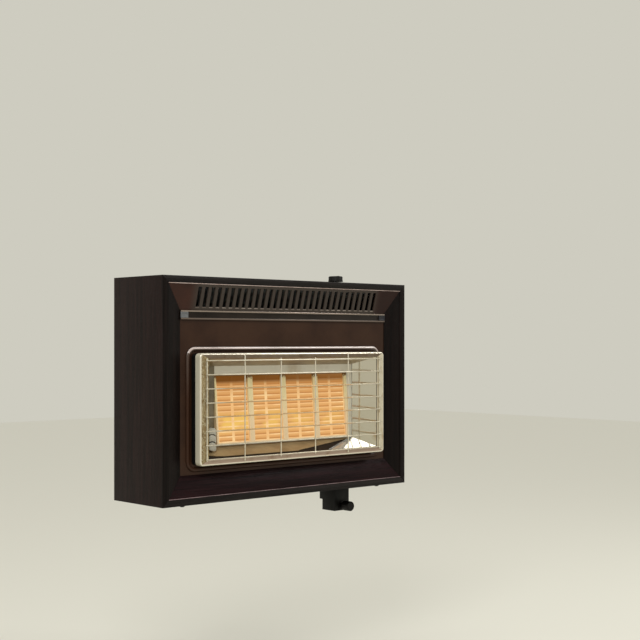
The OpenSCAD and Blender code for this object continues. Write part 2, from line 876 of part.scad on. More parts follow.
module gas_manifold() {
    color([0.72, 0.58, 0.34])
        at_burner()
            difference() {
                translate([0, mixer_y, manifold_z]) rod_x(manifold_r, -manifold_end, manifold_end);
                translate([0, mixer_y, manifold_z])
                    rod_x(manifold_r - mixer_t, -manifold_end + 3, manifold_end - 3);
                translate([0, mixer_y, manifold_z]) rod_x(3, manifold_end - 4, manifold_end + 1);
                for (side = [-1, 1])
                    translate([side * mixer_x, mixer_y, manifold_z + manifold_r - 1.5])
                        cylinder(r = injector_r + 2.5, h = 10, $fn = 6);
            }
}

// Copper tube from the tap to the manifold
supply_r = 4;
supply_bend = 10;

module supply_tube() {
    goal = from_burner([manifold_end, mixer_y, manifold_z]);
    turn_x = (control_x - tap_r + goal[0]) / 2;
    route = [
        [control_x - tap_r, control_y, outlet_z], [turn_x, control_y, outlet_z],
        [turn_x, goal[1], goal[2]], goal
    ];
    color([0.72, 0.45, 0.28]) swept_tube(rounded_route(route, supply_bend), supply_r, 10);
}

// ---------------------------------------------------------------- gas control

// Brass tap: a turned body with a cup on top that holds the return spring and the collar
module gas_tap() {
    color([0.74, 0.60, 0.32])
        translate([control_x, control_y, 0])
            difference() {
                union() {
                    translate([0, 0, tap_bottom]) cylinder(r = tap_r, h = tap_top - tap_bottom);
                    translate([0, 0, tap_top]) cylinder(r = cup_r, h = cup_l);
                    block([-9, 0, tap_bottom + 3], [9, box_d / 2 - box_t, tap_bottom + 21]);
                }
                translate([0, 0, tap_top]) cylinder(r = cup_bore_r, h = cup_l + 1);
                translate([0, 0, spindle_foot - push_travel - 2])
                    cylinder(r = spindle_r + run_fit, h = spindle_seat + push_travel + 3);
                block([-key_w / 2, -cup_r - 1, collar_z - push_travel - 1], [key_w / 2, 0, cap_z + 1]);
            }
}

// Ring screwed on the cup, which keeps the spindle from rising
module tap_cap() {
    color([0.74, 0.60, 0.32])
        translate([control_x, control_y, cap_z])
            difference() {
                cylinder(r = cup_r + 1.5, h = cap_t);
                translate([0, 0, -1]) cylinder(r = spindle_r + run_fit, h = cap_t + 2);
            }
}

// Collar that slides in the cup without turning: its key runs in the slot of the cup
module push_collar() {
    color([0.55, 0.56, 0.58])
        translate([control_x, control_y, 0])
            difference() {
                union() {
                    translate([0, 0, collar_z]) cylinder(r = cup_bore_r - key_gap, h = collar_t);
                    block([-key_w / 2 + key_gap, -cup_r + 0.2, collar_z],
                          [key_w / 2 - key_gap, -spindle_r - 2, collar_z + collar_t]);
                }
                translate([0, 0, collar_z - 1]) cylinder(r = spindle_r + run_fit, h = collar_t + 2);
            }
}

// Coiled return spring under the collar
spring_r = 5.6;
spring_sides = 6;
spring_rings = 8;

module return_spring() {
    turns = spring_turns;
    rise = spring_l - spring_wire - 0.1;
    color([0.60, 0.60, 0.62])
        translate([control_x, control_y, tap_top + spring_wire / 2 + 0.05])
            swept_tube([
                for (i = [0 : turns * spring_rings])
                    let (a = 360 * i / spring_rings)
                        [spring_r * cos(a), spring_r * sin(a), rise * i / (turns * spring_rings)]
            ], spring_wire / 2, spring_sides);
}

// The long spindle from the tap to the knob, with the shoulder that pushes the collar
module control_spindle() {
    color([0.66, 0.67, 0.68])
        translate([control_x, control_y, 0]) {
            translate([0, 0, spindle_foot])
                cylinder(r = spindle_r, h = knob_bottom + knob_socket - spindle_foot);
            translate([0, 0, collar_z + collar_t]) cylinder(r = cup_bore_r - 2, h = shoulder_t);
        }
}

module spindle_bush() {
    color([0.07, 0.07, 0.07])
        translate([control_x, control_y, 0])
            difference() {
                union() {
                    translate([0, 0, inner_top]) cylinder(r = bush_r, h = board_t);
                    translate([0, 0, case_top_z]) cylinder(r = bush_flange_r, h = bush_flange_t);
                }
                translate([0, 0, inner_top - 1])
                    cylinder(r = spindle_r + run_fit, h = board_t + bush_flange_t + 2);
            }
}

// Fluted round knob with a raised pointer on its face
flute_count = 24;
flute_r = 1.1;
knob_skirt_h = 3;

module control_knob() {
    r = knob_d / 2;
    color([0.05, 0.05, 0.05])
        translate([control_x, control_y, knob_bottom])
            difference() {
                union() {
                    cylinder(r = r, h = knob_skirt_h);
                    difference() {
                        cylinder(r = r - 0.6, h = knob_h - 1.8);
                        for (i = [0 : flute_count - 1])
                            rotate(360 / flute_count * (i + 0.5))
                                translate([r + 0.2, 0, -1]) cylinder(r = flute_r, h = knob_h + 2);
                    }
                    cylinder(r1 = r - 1.4, r2 = r - 2.2, h = knob_h - 0.8);
                    block([-1.3, -r + 4.8, knob_h - 1.5], [1.3, 4, knob_h]);
                }
                translate([0, 0, -1]) cylinder(r = spindle_r, h = knob_socket + 1);
            }
}

// Black box under the case round the tap and the igniter, open at the top
module valve_box() {
    x0 = control_x - box_w / 2;
    x1 = control_x + box_w / 2;
    step_d = 9;
    step_h = 34;
    color([0.05, 0.05, 0.05])
        difference() {
            union() {
                block([x0, box_front, box_bottom], [x1, box_back, case_bottom_z]);
                block([x0, box_back - 1, case_bottom_z - step_h], [x1, box_back + step_d, case_bottom_z]);
            }
            block([x0 + box_t, box_front + box_t, box_bottom + box_t],
                  [x1 - box_t, box_back - box_t, case_bottom_z + 1]);
            translate([control_x, 0, igniter_z]) rod_y(barrel_r, box_front - 1, box_front + box_t + 1);
            translate([control_x, 0, inlet_z]) rod_y(inlet_r, box_back - box_t - 1, box_back + step_d + 1);
        }
}

// Compression union behind the box: its socket takes the gas supply tube from the wall
inlet_r = 7.5;
inlet_nut_r = 10;
inlet_z = tap_bottom + 12;

module inlet_union() {
    near = box_back - box_t;
    nut_y = box_back + 9.2;
    color([0.74, 0.60, 0.32])
        translate([control_x, 0, inlet_z])
            difference() {
                union() {
                    rod_y(inlet_r, near, nut_y + inlet_socket_l);
                    translate([0, nut_y, 0]) rotate([-90, 0, 0])
                        cylinder(r = inlet_nut_r, h = inlet_socket_l - 3, $fn = 6);
                }
                rod_y(inlet_tube_r + 0.05, nut_y, nut_y + inlet_socket_l + 1);
                rod_y(2, near - 1, nut_y + 1);
            }
}

// ---------------------------------------------------------------- igniter and pilot

// Piezo igniter: a barrel in the front wall of the valve box, with a lip outside it
module igniter_body() {
    back = box_front + barrel_l;
    lip = 0.8;
    color([0.10, 0.10, 0.10])
        translate([control_x, 0, igniter_z])
            difference() {
                union() {
                    rod_y(barrel_r, box_front - 0.1, back);
                    rod_y(barrel_r + 1, box_front - lip, box_front);
                    rod_y(2.5, back, back + terminal_l);
                }
                rod_y(stem_r + run_fit, box_front - lip - 1, button_back + stem_l + button_travel + 1);
            }
}

module igniter_button() {
    r = button_d / 2;
    color([0.06, 0.06, 0.06])
        translate([control_x, button_front, igniter_z])
            rotate([-90, 0, 0])
                rotate_extrude()
                    polygon([
                        [0, 0.8], [r - 4, 0.8], [r - 3, 0], [r - 1.2, 0], [r, 1.4], [r, button_l - 0.6],
                        [r - 0.6, button_l], [stem_r, button_l],
                        [stem_r, button_l + stem_l], [0, button_l + stem_l]
                    ]);
}

// High tension lead from the igniter up into the case and across to the electrode
lead_r = 2.2;
lead_bend = 4.5;

module ignition_lead() {
    start = [control_x, box_front + barrel_l + terminal_l, igniter_z];
    rise = [control_x - tap_r - 3.5, box_back - box_t - 3, igniter_z];
    goal = electrode_foot;
    route = [
        start, [start[0], rise[1], start[2]], [rise[0], rise[1], start[2]], [rise[0], rise[1], lead_level],
        [rise[0], electrode_lane, lead_level], [goal[0], electrode_lane, lead_level],
        [goal[0], electrode_lane, goal[2]], goal
    ];
    color([0.35, 0.33, 0.32]) swept_tube(rounded_route(route, lead_bend, 3), lead_r);
}

electrode_foot = [pilot_x - 3, throat_y + 22, pilot_z - 9];

// Bracket on the end of the plenum that carries the pilot pieces
module pilot_bracket() {
    wall = -burner_w / 2;
    color([0.74, 0.73, 0.70]) {
        block([wall - sheet_t - 0.3, throat_y + 9, pilot_z - 14], [wall - 0.3, throat_y + 34, pilot_z + 14]);
        difference() {
            block([wall - 18, throat_y + 9, pilot_z - 14],
                  [wall - 0.3, throat_y + 9 + sheet_t, pilot_z + 14]);
            translate([pilot_x - 3, 0, pilot_z - 9]) rod_y(3, throat_y + 8, throat_y + 12);
            translate([pilot_x - 3, 0, pilot_z]) rod_y(2.5, throat_y + 8, throat_y + 12);
            translate([pilot_x - 3, 0, pilot_z + 9]) rod_y(3.5, throat_y + 8, throat_y + 12);
        }
    }
}

// Pilot burner head: a small hood with two slots, on a stem through the bracket
module pilot_burner() {
    x = pilot_x - 3;
    color([0.75, 0.75, 0.72])
        difference() {
            union() {
                translate([x, 0, pilot_z + 9]) rod_y(3.5, pilot_y + 8, throat_y + 15);
                block([x - 5.5, pilot_y - 2, pilot_z + 4], [x + 5, pilot_y + 9, pilot_z + 14]);
            }
            block([x - 6.5, pilot_y - 3, pilot_z + 10.5], [x + 6, pilot_y + 5, pilot_z + 11.7]);
            block([x - 6.5, pilot_y - 3, pilot_z + 6.2], [x + 6, pilot_y + 5, pilot_z + 7.4]);
            translate([x, 0, pilot_z + 9]) rod_y(1.2, pilot_y + 3, throat_y + 16);
        }
}

// Routes of the pilot tube and the thermocouple lead, side by side across the case
function service_route(start, goal, lane) = [
    start, [start[0], lane, start[2]], [start[0], lane, lead_level], [goal[0], lane, lead_level],
    [goal[0], lane, goal[2]], goal
];

service_bend = 4;

module pilot_tube() {
    start = [control_x - 6, control_y + tap_r - 1.5, outlet_z + 4];
    goal = [pilot_x - 3, throat_y + 15, pilot_z + 9];
    color([0.72, 0.45, 0.28])
        swept_tube(rounded_route(service_route(start, goal, pilot_lane), service_bend, 4), 2);
}

// Thermocouple: a probe beside the pilot and a lead back to the tap
module thermocouple() {
    start = [control_x + 6, control_y + tap_r - 1.5, outlet_z + 4];
    tip = [pilot_x - 3, pilot_y - 1, pilot_z];
    goal = [pilot_x - 3, throat_y + 10, pilot_z];
    color([0.70, 0.50, 0.36]) {
        translate([tip[0], 0, tip[2]]) rod_y(2.3, tip[1], goal[1] + 4);
        swept_tube(rounded_route(service_route(start, goal + [0, 3.5, 0], thermocouple_lane),
                                 service_bend, 4), 1.5);
    }
}

// Spark electrode: a ceramic sleeve with a wire bent towards the pilot
module spark_electrode() {
    x = pilot_x - 3;
    color([0.92, 0.91, 0.88]) {
        translate([x, 0, pilot_z - 9]) rod_y(2.9, pilot_y + 2, electrode_foot[1]);
        translate([x, 0, pilot_z - 9]) rod_y(0.9, pilot_y - 3, pilot_y + 4);
    }
}

// ---------------------------------------------------------------- assembly

case_left_side();
case_right_side();
case_top();
case_bottom();
back_plate();
corner_brackets();
bevel_left();
bevel_right();
bevel_bottom();
outlet_grille();
heat_deflector();
trim_bar();
trim_bar_ends();
front_panel();
case_screws();
firebox_rim();
firebox_neck();
reflector_left();
reflector_right();
reflector_top();
reflector_bottom();
reflector_back();
guard_uprights();
guard_hooks();
guard_cross_wires();
burner_cover_frame();
plaque_1();
plaque_2();
plaque_3();
plaque_4();
plaque_gaskets();
burner_plenum();
burner_brackets();
mixing_tubes();
injectors();
gas_manifold();
supply_tube();
gas_tap();
tap_cap();
push_collar();
return_spring();
control_spindle();
spindle_bush();
control_knob();
valve_box();
inlet_union();
igniter_body();
igniter_button();
ignition_lead();
pilot_bracket();
pilot_burner();
pilot_tube();
spark_electrode();
thermocouple();
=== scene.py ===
"""Looks of a wall mounted radiant gas heater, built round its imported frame.

Lengths are written in millimetres in the case's own frame and become metres when a piece is
handed over: +X runs right along the wall, +Y goes into the wall and +Z is up.
"""

import logging
from dataclasses import dataclass
from enum import Enum
from math import cos, pi, radians, sin
from typing import Callable, Iterable, Sequence

import bmesh
import bpy
from mathutils import Matrix, Vector, noise

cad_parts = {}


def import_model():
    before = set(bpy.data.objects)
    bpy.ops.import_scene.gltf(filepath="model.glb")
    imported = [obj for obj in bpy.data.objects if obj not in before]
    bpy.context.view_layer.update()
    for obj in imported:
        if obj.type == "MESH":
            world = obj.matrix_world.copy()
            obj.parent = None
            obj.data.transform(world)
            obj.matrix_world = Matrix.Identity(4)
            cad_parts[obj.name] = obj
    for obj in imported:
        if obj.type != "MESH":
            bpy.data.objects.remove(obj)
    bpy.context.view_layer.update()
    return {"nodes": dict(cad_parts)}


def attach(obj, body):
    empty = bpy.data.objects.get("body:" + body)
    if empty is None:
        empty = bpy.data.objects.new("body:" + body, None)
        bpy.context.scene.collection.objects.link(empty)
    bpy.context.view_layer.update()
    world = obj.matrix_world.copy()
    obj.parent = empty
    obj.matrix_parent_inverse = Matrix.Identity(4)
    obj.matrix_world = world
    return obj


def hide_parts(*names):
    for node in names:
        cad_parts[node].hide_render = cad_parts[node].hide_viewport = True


LOG = logging.getLogger("gas_heater")
MM = 0.001

Colour = tuple[float, float, float, float]
Point = Sequence[float]


def srgb(red: float, green: float, blue: float) -> Colour:
    """Turns a display colour, each part from 0 to 255, into a linear colour.

    Args:
        red: Red part.
        green: Green part.
        blue: Blue part.

    Returns:
        The linear colour with an alpha of 1.
    """
    linear = []
    for part in (red, green, blue):
        share = part / 255
        linear.append(share / 12.92 if share <= 0.04045 else ((share + 0.055) / 1.055) ** 2.4)
    return (*linear, 1.0)


class Body(Enum):
    """The bodies of the model that a piece can ride on."""

    HEATER = "heater"
    CONTROL = "control"
    BUTTON = "ignition_button"


class Axis(Enum):
    """A direction in the case's frame."""

    X = 0
    Y = 1
    Z = 2


# ------------------------------------------------------------------ material graphs


class Value:
    """A number that varies over a surface: arithmetic on it adds Math nodes."""

    def __init__(self, graph: "Graph", socket: bpy.types.NodeSocket) -> None:
        """Wraps a socket of a graph."""
        self.graph = graph
        self.socket = socket

    def _math(self, operation: str, *terms: "Value | float") -> "Value":
        """Adds one Math node.

        Args:
            operation: The node's operation.
            terms: Its inputs, in order.

        Returns:
            The node's result.
        """
        return self.graph.node("ShaderNodeMath", {"operation": operation}, dict(enumerate(terms)))

    def __add__(self, other: "Value | float") -> "Value":
        """Sum."""
        return self._math("ADD", self, other)

    __radd__ = __add__

    def __sub__(self, other: "Value | float") -> "Value":
        """Difference."""
        return self._math("SUBTRACT", self, other)

    def __rsub__(self, other: float) -> "Value":
        """Difference from a number."""
        return self._math("SUBTRACT", other, self)

    def __mul__(self, other: "Value | float") -> "Value":
        """Product."""
        return self._math("MULTIPLY", self, other)

    __rmul__ = __mul__

    def __truediv__(self, other: "Value | float") -> "Value":
        """Quotient."""
        return self._math("DIVIDE", self, other)

    def fraction(self) -> "Value":
        """The part after the point."""
        return self._math("FRACT", self)

    def distance(self, centre: float) -> "Value":
        """Distance from a centre."""
        return self._math("ABSOLUTE", self - centre)

    def rise(self, low: float, high: float) -> "Value":
        """0 below low, 1 above high and a smooth step between them.

        Args:
            low: Where the step starts.
            high: Where it ends.

        Returns:
            The step.
        """
        settings = {"interpolation_type": "SMOOTHSTEP"}
        return self.graph.node(
            "ShaderNodeMapRange", settings, {"Value": self, "From Min": low, "From Max": high}
        )


class Graph:
    """The node tree of one material."""

    def __init__(self, name: str) -> None:
        """Makes an empty material.

        Args:
            name: The material's name.
        """
        self.material = bpy.data.materials.new(name)
        self.material.use_nodes = True
        self.tree = self.material.node_tree
        self.tree.nodes.clear()

    def node(
        self,
        kind: str,
        settings: dict[str, object] | None = None,
        inputs: "dict[int | str, object] | None" = None,
        output: int | str = 0,
    ) -> Value:
        """Adds a node: first its settings, then the values or links of its sockets.

        Args:
            kind: The node's type.
            settings: Its properties; "stops" gives a ramp's places and colours.
            inputs: Its inputs by index or name, each a number, a colour or a Value.
            output: The output to return.

        Returns:
            That output.
        """
        made = self.tree.nodes.new(kind)
        for key, setting in (settings or {}).items():
            if key == "stops":
                self._set_stops(made.color_ramp, setting)
            else:
                setattr(made, key, setting)
        for key, value in (inputs or {}).items():
            if isinstance(value, Value):
                self.tree.links.new(value.socket, made.inputs[key])
            else:
                made.inputs[key].default_value = value
        return Value(self, made.outputs[output])

    @staticmethod
    def _set_stops(ramp: bpy.types.ColorRamp, stops: Sequence[tuple[float, Colour]]) -> None:
        """Gives a colour ramp its stops.

        Args:
            ramp: The ramp.
            stops: Place and colour of each stop.
        """
        while len(ramp.elements) < len(stops):
            ramp.elements.new(1.0)
        for element, (place, colour) in zip(ramp.elements, stops):
            element.position = place
            element.color = colour

    def place(
        self, scale: Point = (1, 1, 1), centre: Point = (0, 0, 0), turn: float = 0.0
    ) -> Value:
        """Object coordinates in millimetres, moved, turned and stretched.

        Args:
            scale: Stretch along each axis.
            centre: The point that becomes the origin, in millimetres.
            turn: Turn about the X axis, in degrees.

        Returns:
            The coordinates.
        """
        spot = self.node("ShaderNodeTexCoord", output="Object")
        if any(centre) or turn:
            settings = {"vector_type": "POINT"}
            middle = Matrix.Rotation(radians(turn), 3, "X") @ (Vector(centre) * MM)
            spot = self.node(
                "ShaderNodeMapping",
                settings,
                {0: spot, 1: tuple(-middle), 2: (radians(turn), 0, 0)},
            )
        return self.node(
            "ShaderNodeVectorMath", {"operation": "MULTIPLY"}, {0: spot, 1: [s / MM for s in scale]}
        )

    def part(self, vector: Value, axis: Axis) -> Value:
        """One coordinate of a vector."""
        return self.node("ShaderNodeSeparateXYZ", None, {0: vector}, axis.value)

    def along(self, axis: Axis) -> Value:
        """One object coordinate in millimetres."""
        return self.part(self.place(), axis)

    def cloud(self, lumps: Point, detail: float, rough: float) -> Value:
        """Noise from 0 to 1.

        Args:
            lumps: Lumps in each millimetre along each axis.
            detail: Finer layers.
            rough: Strength of the finer layers.

        Returns:
            The noise.
        """
        inputs = {"Vector": self.place(lumps), "Scale": 1.0, "Detail": detail, "Roughness": rough}
        return self.node("ShaderNodeTexNoise", None, inputs)

    def cells(self, lumps: Point, output: int | str = 0, randomness: float = 1.0) -> Value:
        """Voronoi cells.

        Args:
            lumps: Cells in each millimetre along each axis.
            output: The node's output, by index or name.
            randomness: How far the cells stray from a grid.

        Returns:
            That output.
        """
        inputs = {"Vector": self.place(lumps), "Scale": 1.0, "Randomness": randomness}
        return self.node("ShaderNodeTexVoronoi", {"feature": "F1"}, inputs, output)

    def blend(
        self, factor: "Value | float", first: "Value | Colour", second: "Value | Colour"
    ) -> Value:
        """Mixes two colours.

        Args:
            factor: 0 for the first colour, 1 for the second.
            first: The first colour.
            second: The second colour.

        Returns:
            The mixed colour.
        """
        return self.node(
            "ShaderNodeMix", {"data_type": "RGBA"}, {0: factor, 6: first, 7: second}, 2
        )

    def ramp(self, factor: Value, stops: Sequence[tuple[float, Colour]]) -> Value:
        """Colours along a factor."""
        return self.node("ShaderNodeValToRGB", {"stops": stops}, {0: factor})

    def bump(self, height: Value, depth: float, strength: float = 1.0) -> Value:
        """Normals of a relief.

        Args:
            height: The relief, 0 to 1.
            depth: Its full height in millimetres.
            strength: How much of it shows.

        Returns:
            The normal.
        """
        return self.node(
            "ShaderNodeBump", None, {"Height": height, "Distance": depth * MM, "Strength": strength}
        )

    def surface(self, **inputs: object) -> None:
        """Ends the material in a principled shader.

        Args:
            inputs: The shader's inputs, with _ for a space in a name.
        """
        named = {key.replace("_", " "): value for key, value in inputs.items()}
        shader = self.node("ShaderNodeBsdfPrincipled", None, named)
        self.node_output(shader)

    def node_output(self, shader: Value) -> None:
        """Sends a shader to the material's surface."""
        end = self.tree.nodes.new("ShaderNodeOutputMaterial")
        self.tree.links.new(shader.socket, end.inputs["Surface"])


# ------------------------------------------------------------------ finishes


@dataclass(frozen=True)
class Finish:
    """A surface finish, with its look in its fields."""

    label: str

    def material(self) -> bpy.types.Material:
        """Makes the finish's material, or finds it if it is made.

        Returns:
            The material.
        """
        made = bpy.data.materials.get(self.label)
        if made is None:
            graph = Graph(self.label)
            self.shade(graph)
            made = graph.material
        return made

    def shade(self, graph: Graph) -> None:
        """Wires the finish into a graph.

        Args:
            graph: The material's graph.
        """
        raise NotImplementedError


@dataclass(frozen=True)
class OpenGrainVeneer(Finish):
    """Very dark open-grained veneer under a satin lacquer."""

    grain: Axis = Axis.Z
    dark: Colour = srgb(15, 6, 5)
    light: Colour = srgb(38, 23, 21)
    gloss: float = 0.42
    shine: float = 0.12

    def shade(self, graph: Graph) -> None:
        """Long streaks and fine open pores along the grain.

        Args:
            graph: The material's graph.
        """

        def along(across: float, length: float) -> list[float]:
            """Lumps in each millimetre across and along the grain, by axis."""
            return [length if axis is self.grain else across for axis in Axis]

        figure = graph.cloud(along(0.11, 0.004), 3.0, 0.6)
        streak = graph.cloud(along(0.55, 0.012), 3.0, 0.6)
        pores = graph.cloud(along(2.6, 0.06), 2.0, 0.5)
        pore = pores.rise(0.56, 0.66)
        tone = graph.blend((figure * 0.5 + streak * 0.5).rise(0.36, 0.66), self.dark, self.light)
        tone = graph.blend(pore * 0.55, tone, srgb(16, 12, 11))
        graph.surface(
            Base_Color=tone,
            Roughness=self.gloss + pore * 0.2 + (streak - 0.5) * 0.14,
            Normal=graph.bump(streak * 0.35 + (1 - pore) * 0.65, 0.16),
            Specular_IOR_Level=self.shine,
        )


@dataclass(frozen=True)
class ArrisWearAndHighlight(Finish):
    """The rubbed edge of a board, pale where the stain has gone and pale as a painted highlight."""

    tone: Colour = srgb(142, 118, 118)
    worn: Colour = srgb(86, 68, 68)

    def shade(self, graph: Graph) -> None:
        """Pale with darker stretches.

        Args:
            graph: The material's graph.
        """
        wear = graph.cloud((0.03, 0.3, 0.3), 3.0, 0.6)
        graph.surface(
            Base_Color=graph.blend(wear.rise(0.3, 0.62), self.worn, self.tone),
            Roughness=0.42,
            Normal=graph.bump(wear, 0.1),
        )


@dataclass(frozen=True)
class StoveEnamel(Finish):
    """Satin stove enamel on sheet metal, with a faint orange peel."""

    tone: Colour = srgb(56, 35, 22)
    deep: Colour = srgb(44, 25, 15)
    gloss: float = 0.34
    peel: float = 0.05
    shine: float = 0.18
    between: Colour = srgb(60, 52, 46)
    shaded: Colour = srgb(30, 9, 5)
    reach: float = 0.0
    coat: float = 0.0
    foot: Colour = srgb(54, 33, 21)
    highlight_heights: tuple[float, float] | None = None
    fade: tuple[float, float] = (-24.0, 6.0)

    def shade(self, graph: Graph) -> None:
        """Broad clouds of tone and a fine peel.

        Args:
            graph: The material's graph.
        """
        cloud = graph.cloud((0.012, 0.012, 0.012), 4.0, 0.6)
        peel = graph.cloud((0.55, 0.55, 0.55), 2.0, 0.5)
        tone = graph.blend(cloud.rise(0.3, 0.7), self.deep, self.tone)
        if self.reach:
            across = graph.along(Axis.X)
            limits = [self.reach + step for step in self.fade]
            tone = graph.blend(across.distance(0.0).rise(*limits), self.between, tone)
            tone = graph.blend(across.rise(*limits) * 0.85, tone, self.shaded)
        coat = self.coat
        # Painted highlight: between these heights the tone lightens from the foot colour and the
        # coat comes in, so a bead is darker and duller towards the bottom.
        if self.highlight_heights:
            lift = graph.along(Axis.Z).rise(*self.highlight_heights)
            tone = graph.blend(lift, self.foot, tone)
            coat = lift * self.coat
        graph.surface(
            Base_Color=tone,
            Roughness=self.gloss + (cloud - 0.5) * 0.16,
            Normal=graph.bump(peel, self.peel),
            Specular_IOR_Level=self.shine,
            Coat_Weight=coat,
            Coat_Roughness=0.3,
        )


@dataclass(frozen=True)
class RimSteel(Finish):
    """Light champagne sheet with soft dents, tinted where the heat reaches it."""

    tone: Colour = srgb(206, 196, 172)
    tint: Colour = srgb(172, 150, 112)
    tinted: float = 0.2
    dents: float = 0.15
    metal: float = 0.35
    gloss: float = 0.36
    reflection_runs: float = 0.0

    def shade(self, graph: Graph) -> None:
        """Long dents, clouds of heat tint and, where it is buckled, pale runs of painted
        reflection.

        Args:
            graph: The material's graph.
        """
        dent = graph.cloud((0.10, 0.10, 0.05), 3.0, 0.55)
        cloud = graph.cloud((0.05, 0.05, 0.03), 4.0, 0.65)
        tone = graph.blend(cloud.rise(0.62 - self.tinted * 0.6, 0.78), self.tone, self.tint)
        # Pale runs along the buckles: painted reflection.
        if self.reflection_runs:
            buckle = graph.cloud((0.3, 0.3, 0.06), 3.0, 0.6)
            run = buckle.distance(0.5).rise(0.0, 0.035) * -self.reflection_runs + self.reflection_runs
            tone = graph.blend(run, tone, srgb(214, 206, 176))
            dent = buckle
        graph.surface(
            Base_Color=tone,
            Roughness=self.gloss + (cloud - 0.5) * 0.2,
            Metallic=self.metal,
            Normal=graph.bump(dent, self.dents),
        )


@dataclass(frozen=True)
class PolishedReflector(Finish):
    """Bright rolled aluminium, slightly wavy and tinted by the heat."""

    tone: Colour = srgb(218, 211, 192)
    tint: Colour = srgb(186, 160, 116)
    tinted: float = 0.1
    waves: float = 0.03
    gloss: float = 0.08
    metal: float = 1.0

    def shade(self, graph: Graph) -> None:
        """Fine rolling lines, slow waves and a heat tint.

        Args:
            graph: The material's graph.
        """
        wave = graph.cloud((0.03, 0.03, 0.05), 2.0, 0.4)
        lines = graph.cloud((0.02, 0.02, 1.4), 2.0, 0.5)
        cloud = graph.cloud((0.02, 0.02, 0.02), 3.0, 0.6)
        graph.surface(
            Base_Color=graph.blend(cloud.rise(0.6 - self.tinted, 0.8), self.tone, self.tint),
            Roughness=self.gloss + (lines - 0.5) * 0.06,
            Metallic=self.metal,
            Normal=graph.bump(wave * 0.9 + lines * 0.1, self.waves),
        )


@dataclass(frozen=True)
class PlatedWire(Finish):
    """Bright plated wire with a warm bloom, straw brown in front of the fire."""

    tone: Colour = srgb(224, 218, 200)
    bloom: Colour = srgb(186, 168, 132)
    burnt: Colour = srgb(176, 134, 84)
    clean: Colour = srgb(224, 218, 200)
    fire: tuple[float, float, float] = (-24.0, 0.0, -38.0)
    fire_sides: tuple[float, float] = (164.0, 192.0)
    fire_ends: tuple[float, float] = (54.0, 72.0)
    crown: tuple[float, float] = (60.0, 68.0)
    burn: float = 0.5
    gloss: float = 0.28
    metal: float = 0.85

    def shade(self, graph: Graph) -> None:
        """Blotches of bloom on bright metal and a burnt field in front of the fire.

        Args:
            graph: The material's graph.
        """
        cloud = graph.cloud((0.09, 0.09, 0.09), 4.0, 0.6)
        scratch = graph.cloud((1.5, 1.5, 1.5), 2.0, 0.5)
        spot = graph.place((1, 1, 1), self.fire)
        side, height = (graph.part(spot, axis) for axis in (Axis.X, Axis.Z))
        before = 1 - side.distance(0.0).rise(*self.fire_sides)
        burnt = before * (1 - height.distance(0.0).rise(*self.fire_ends))
        plated = graph.blend(cloud.rise(0.5, 0.75), self.tone, self.bloom)
        plated = graph.blend(height.rise(*self.crown) * before, plated, self.clean)
        graph.surface(
            Base_Color=graph.blend(burnt * self.burn, plated, self.burnt),
            Roughness=self.gloss + cloud * 0.12,
            Metallic=self.metal,
            Normal=graph.bump(scratch, 0.02),
        )


@dataclass(frozen=True)
class GlowingCeramic(Finish):
    """Ceramic plaque at work: pale ribs, orange cells with painted shade along each row's lower
    edge, darker along the top.
    """

    centre: tuple[float, float, float] = (0.0, -140.5, -41.5)
    tilt: float = -4.5
    first_row: float = -65.7
    row_pitch: float = 10.32
    plaque_pitch: float = 91.0
    rib: float = 2.6
    face: float = 4.5
    top: float = 66.0
    shade_colour: Colour = srgb(28, 20, 14)
    power: float = 1.0

    def shade(self, graph: Graph) -> None:
        """Glow by place: row, depth in the cell and height on the burner.

        Args:
            graph: The material's graph.
        """
        spot = graph.place((1, 1, 1), self.centre, -self.tilt)
        height = graph.part(spot, Axis.Z)
        depth = graph.part(spot, Axis.Y)
        side = graph.part(spot, Axis.X)
        row = ((height - self.first_row) / self.row_pitch).fraction()
        column = (side / self.plaque_pitch).fraction().distance(0.5) * self.plaque_pitch
        lift = (height + self.top) / (2 * self.top)
        patch = graph.cloud((0.022, 0.022, 0.035), 2.0, 0.5)
        band = 1 - lift.distance(0.30).rise(0.04, 0.24)
        yellow = band * (0.75 - side / 400) * patch.rise(0.3, 0.6)
        # Each row darker along its lower edge: painted shade.
        cell = graph.blend(row.rise(0.02, 0.5), srgb(192, 128, 66), srgb(226, 168, 102))
        cell = graph.blend(yellow, cell, srgb(238, 190, 96))
        rib = graph.blend(patch.rise(0.4, 0.7), srgb(238, 186, 122), srgb(250, 212, 152))
        deep = (depth - self.face).rise(0.2, 1.4) * column.rise(self.rib, self.rib + 1.2)
        glow = graph.blend(deep, rib, cell)
        glow = graph.blend(lift.rise(0.6, 0.9) * 0.4, glow, srgb(176, 112, 48))
        glow = graph.blend(lift.rise(0.86, 0.95) * (0.94 - side / 1200), glow, srgb(110, 64, 10))
        holes = graph.cells((0.55, 0.0, 0.55), randomness=0.25)
        glow = graph.blend(holes.rise(0.16, 0.3) * -0.22 + 0.22, glow, srgb(150, 84, 30))
        graph.surface(
            Base_Color=self.shade_colour,
            Roughness=0.9,
            Emission_Color=glow,
            Emission_Strength=self.power,
            Normal=graph.bump(holes, 0.12, 0.6),
        )


@dataclass(frozen=True)
class HeatTintedSteel(Finish):
    """Aluminised sheet, straw and brown where it has been hot."""

    tone: Colour = srgb(214, 204, 172)
    tint: Colour = srgb(170, 140, 92)
    tinted: float = 0.35
    metal: float = 0.6
    gloss: float = 0.42

    def shade(self, graph: Graph) -> None:
        """Clouds of tint over a fine rolled grain.

        Args:
            graph: The material's graph.
        """
        cloud = graph.cloud((0.035, 0.035, 0.05), 4.0, 0.6)
        grain = graph.cloud((0.05, 1.1, 1.1), 2.0, 0.5)
        graph.surface(
            Base_Color=graph.blend(cloud.rise(0.7 - self.tinted, 0.8), self.tone, self.tint),
            Roughness=self.gloss + (grain - 0.5) * 0.2,
            Metallic=self.metal,
            Normal=graph.bump(grain, 0.03),
        )


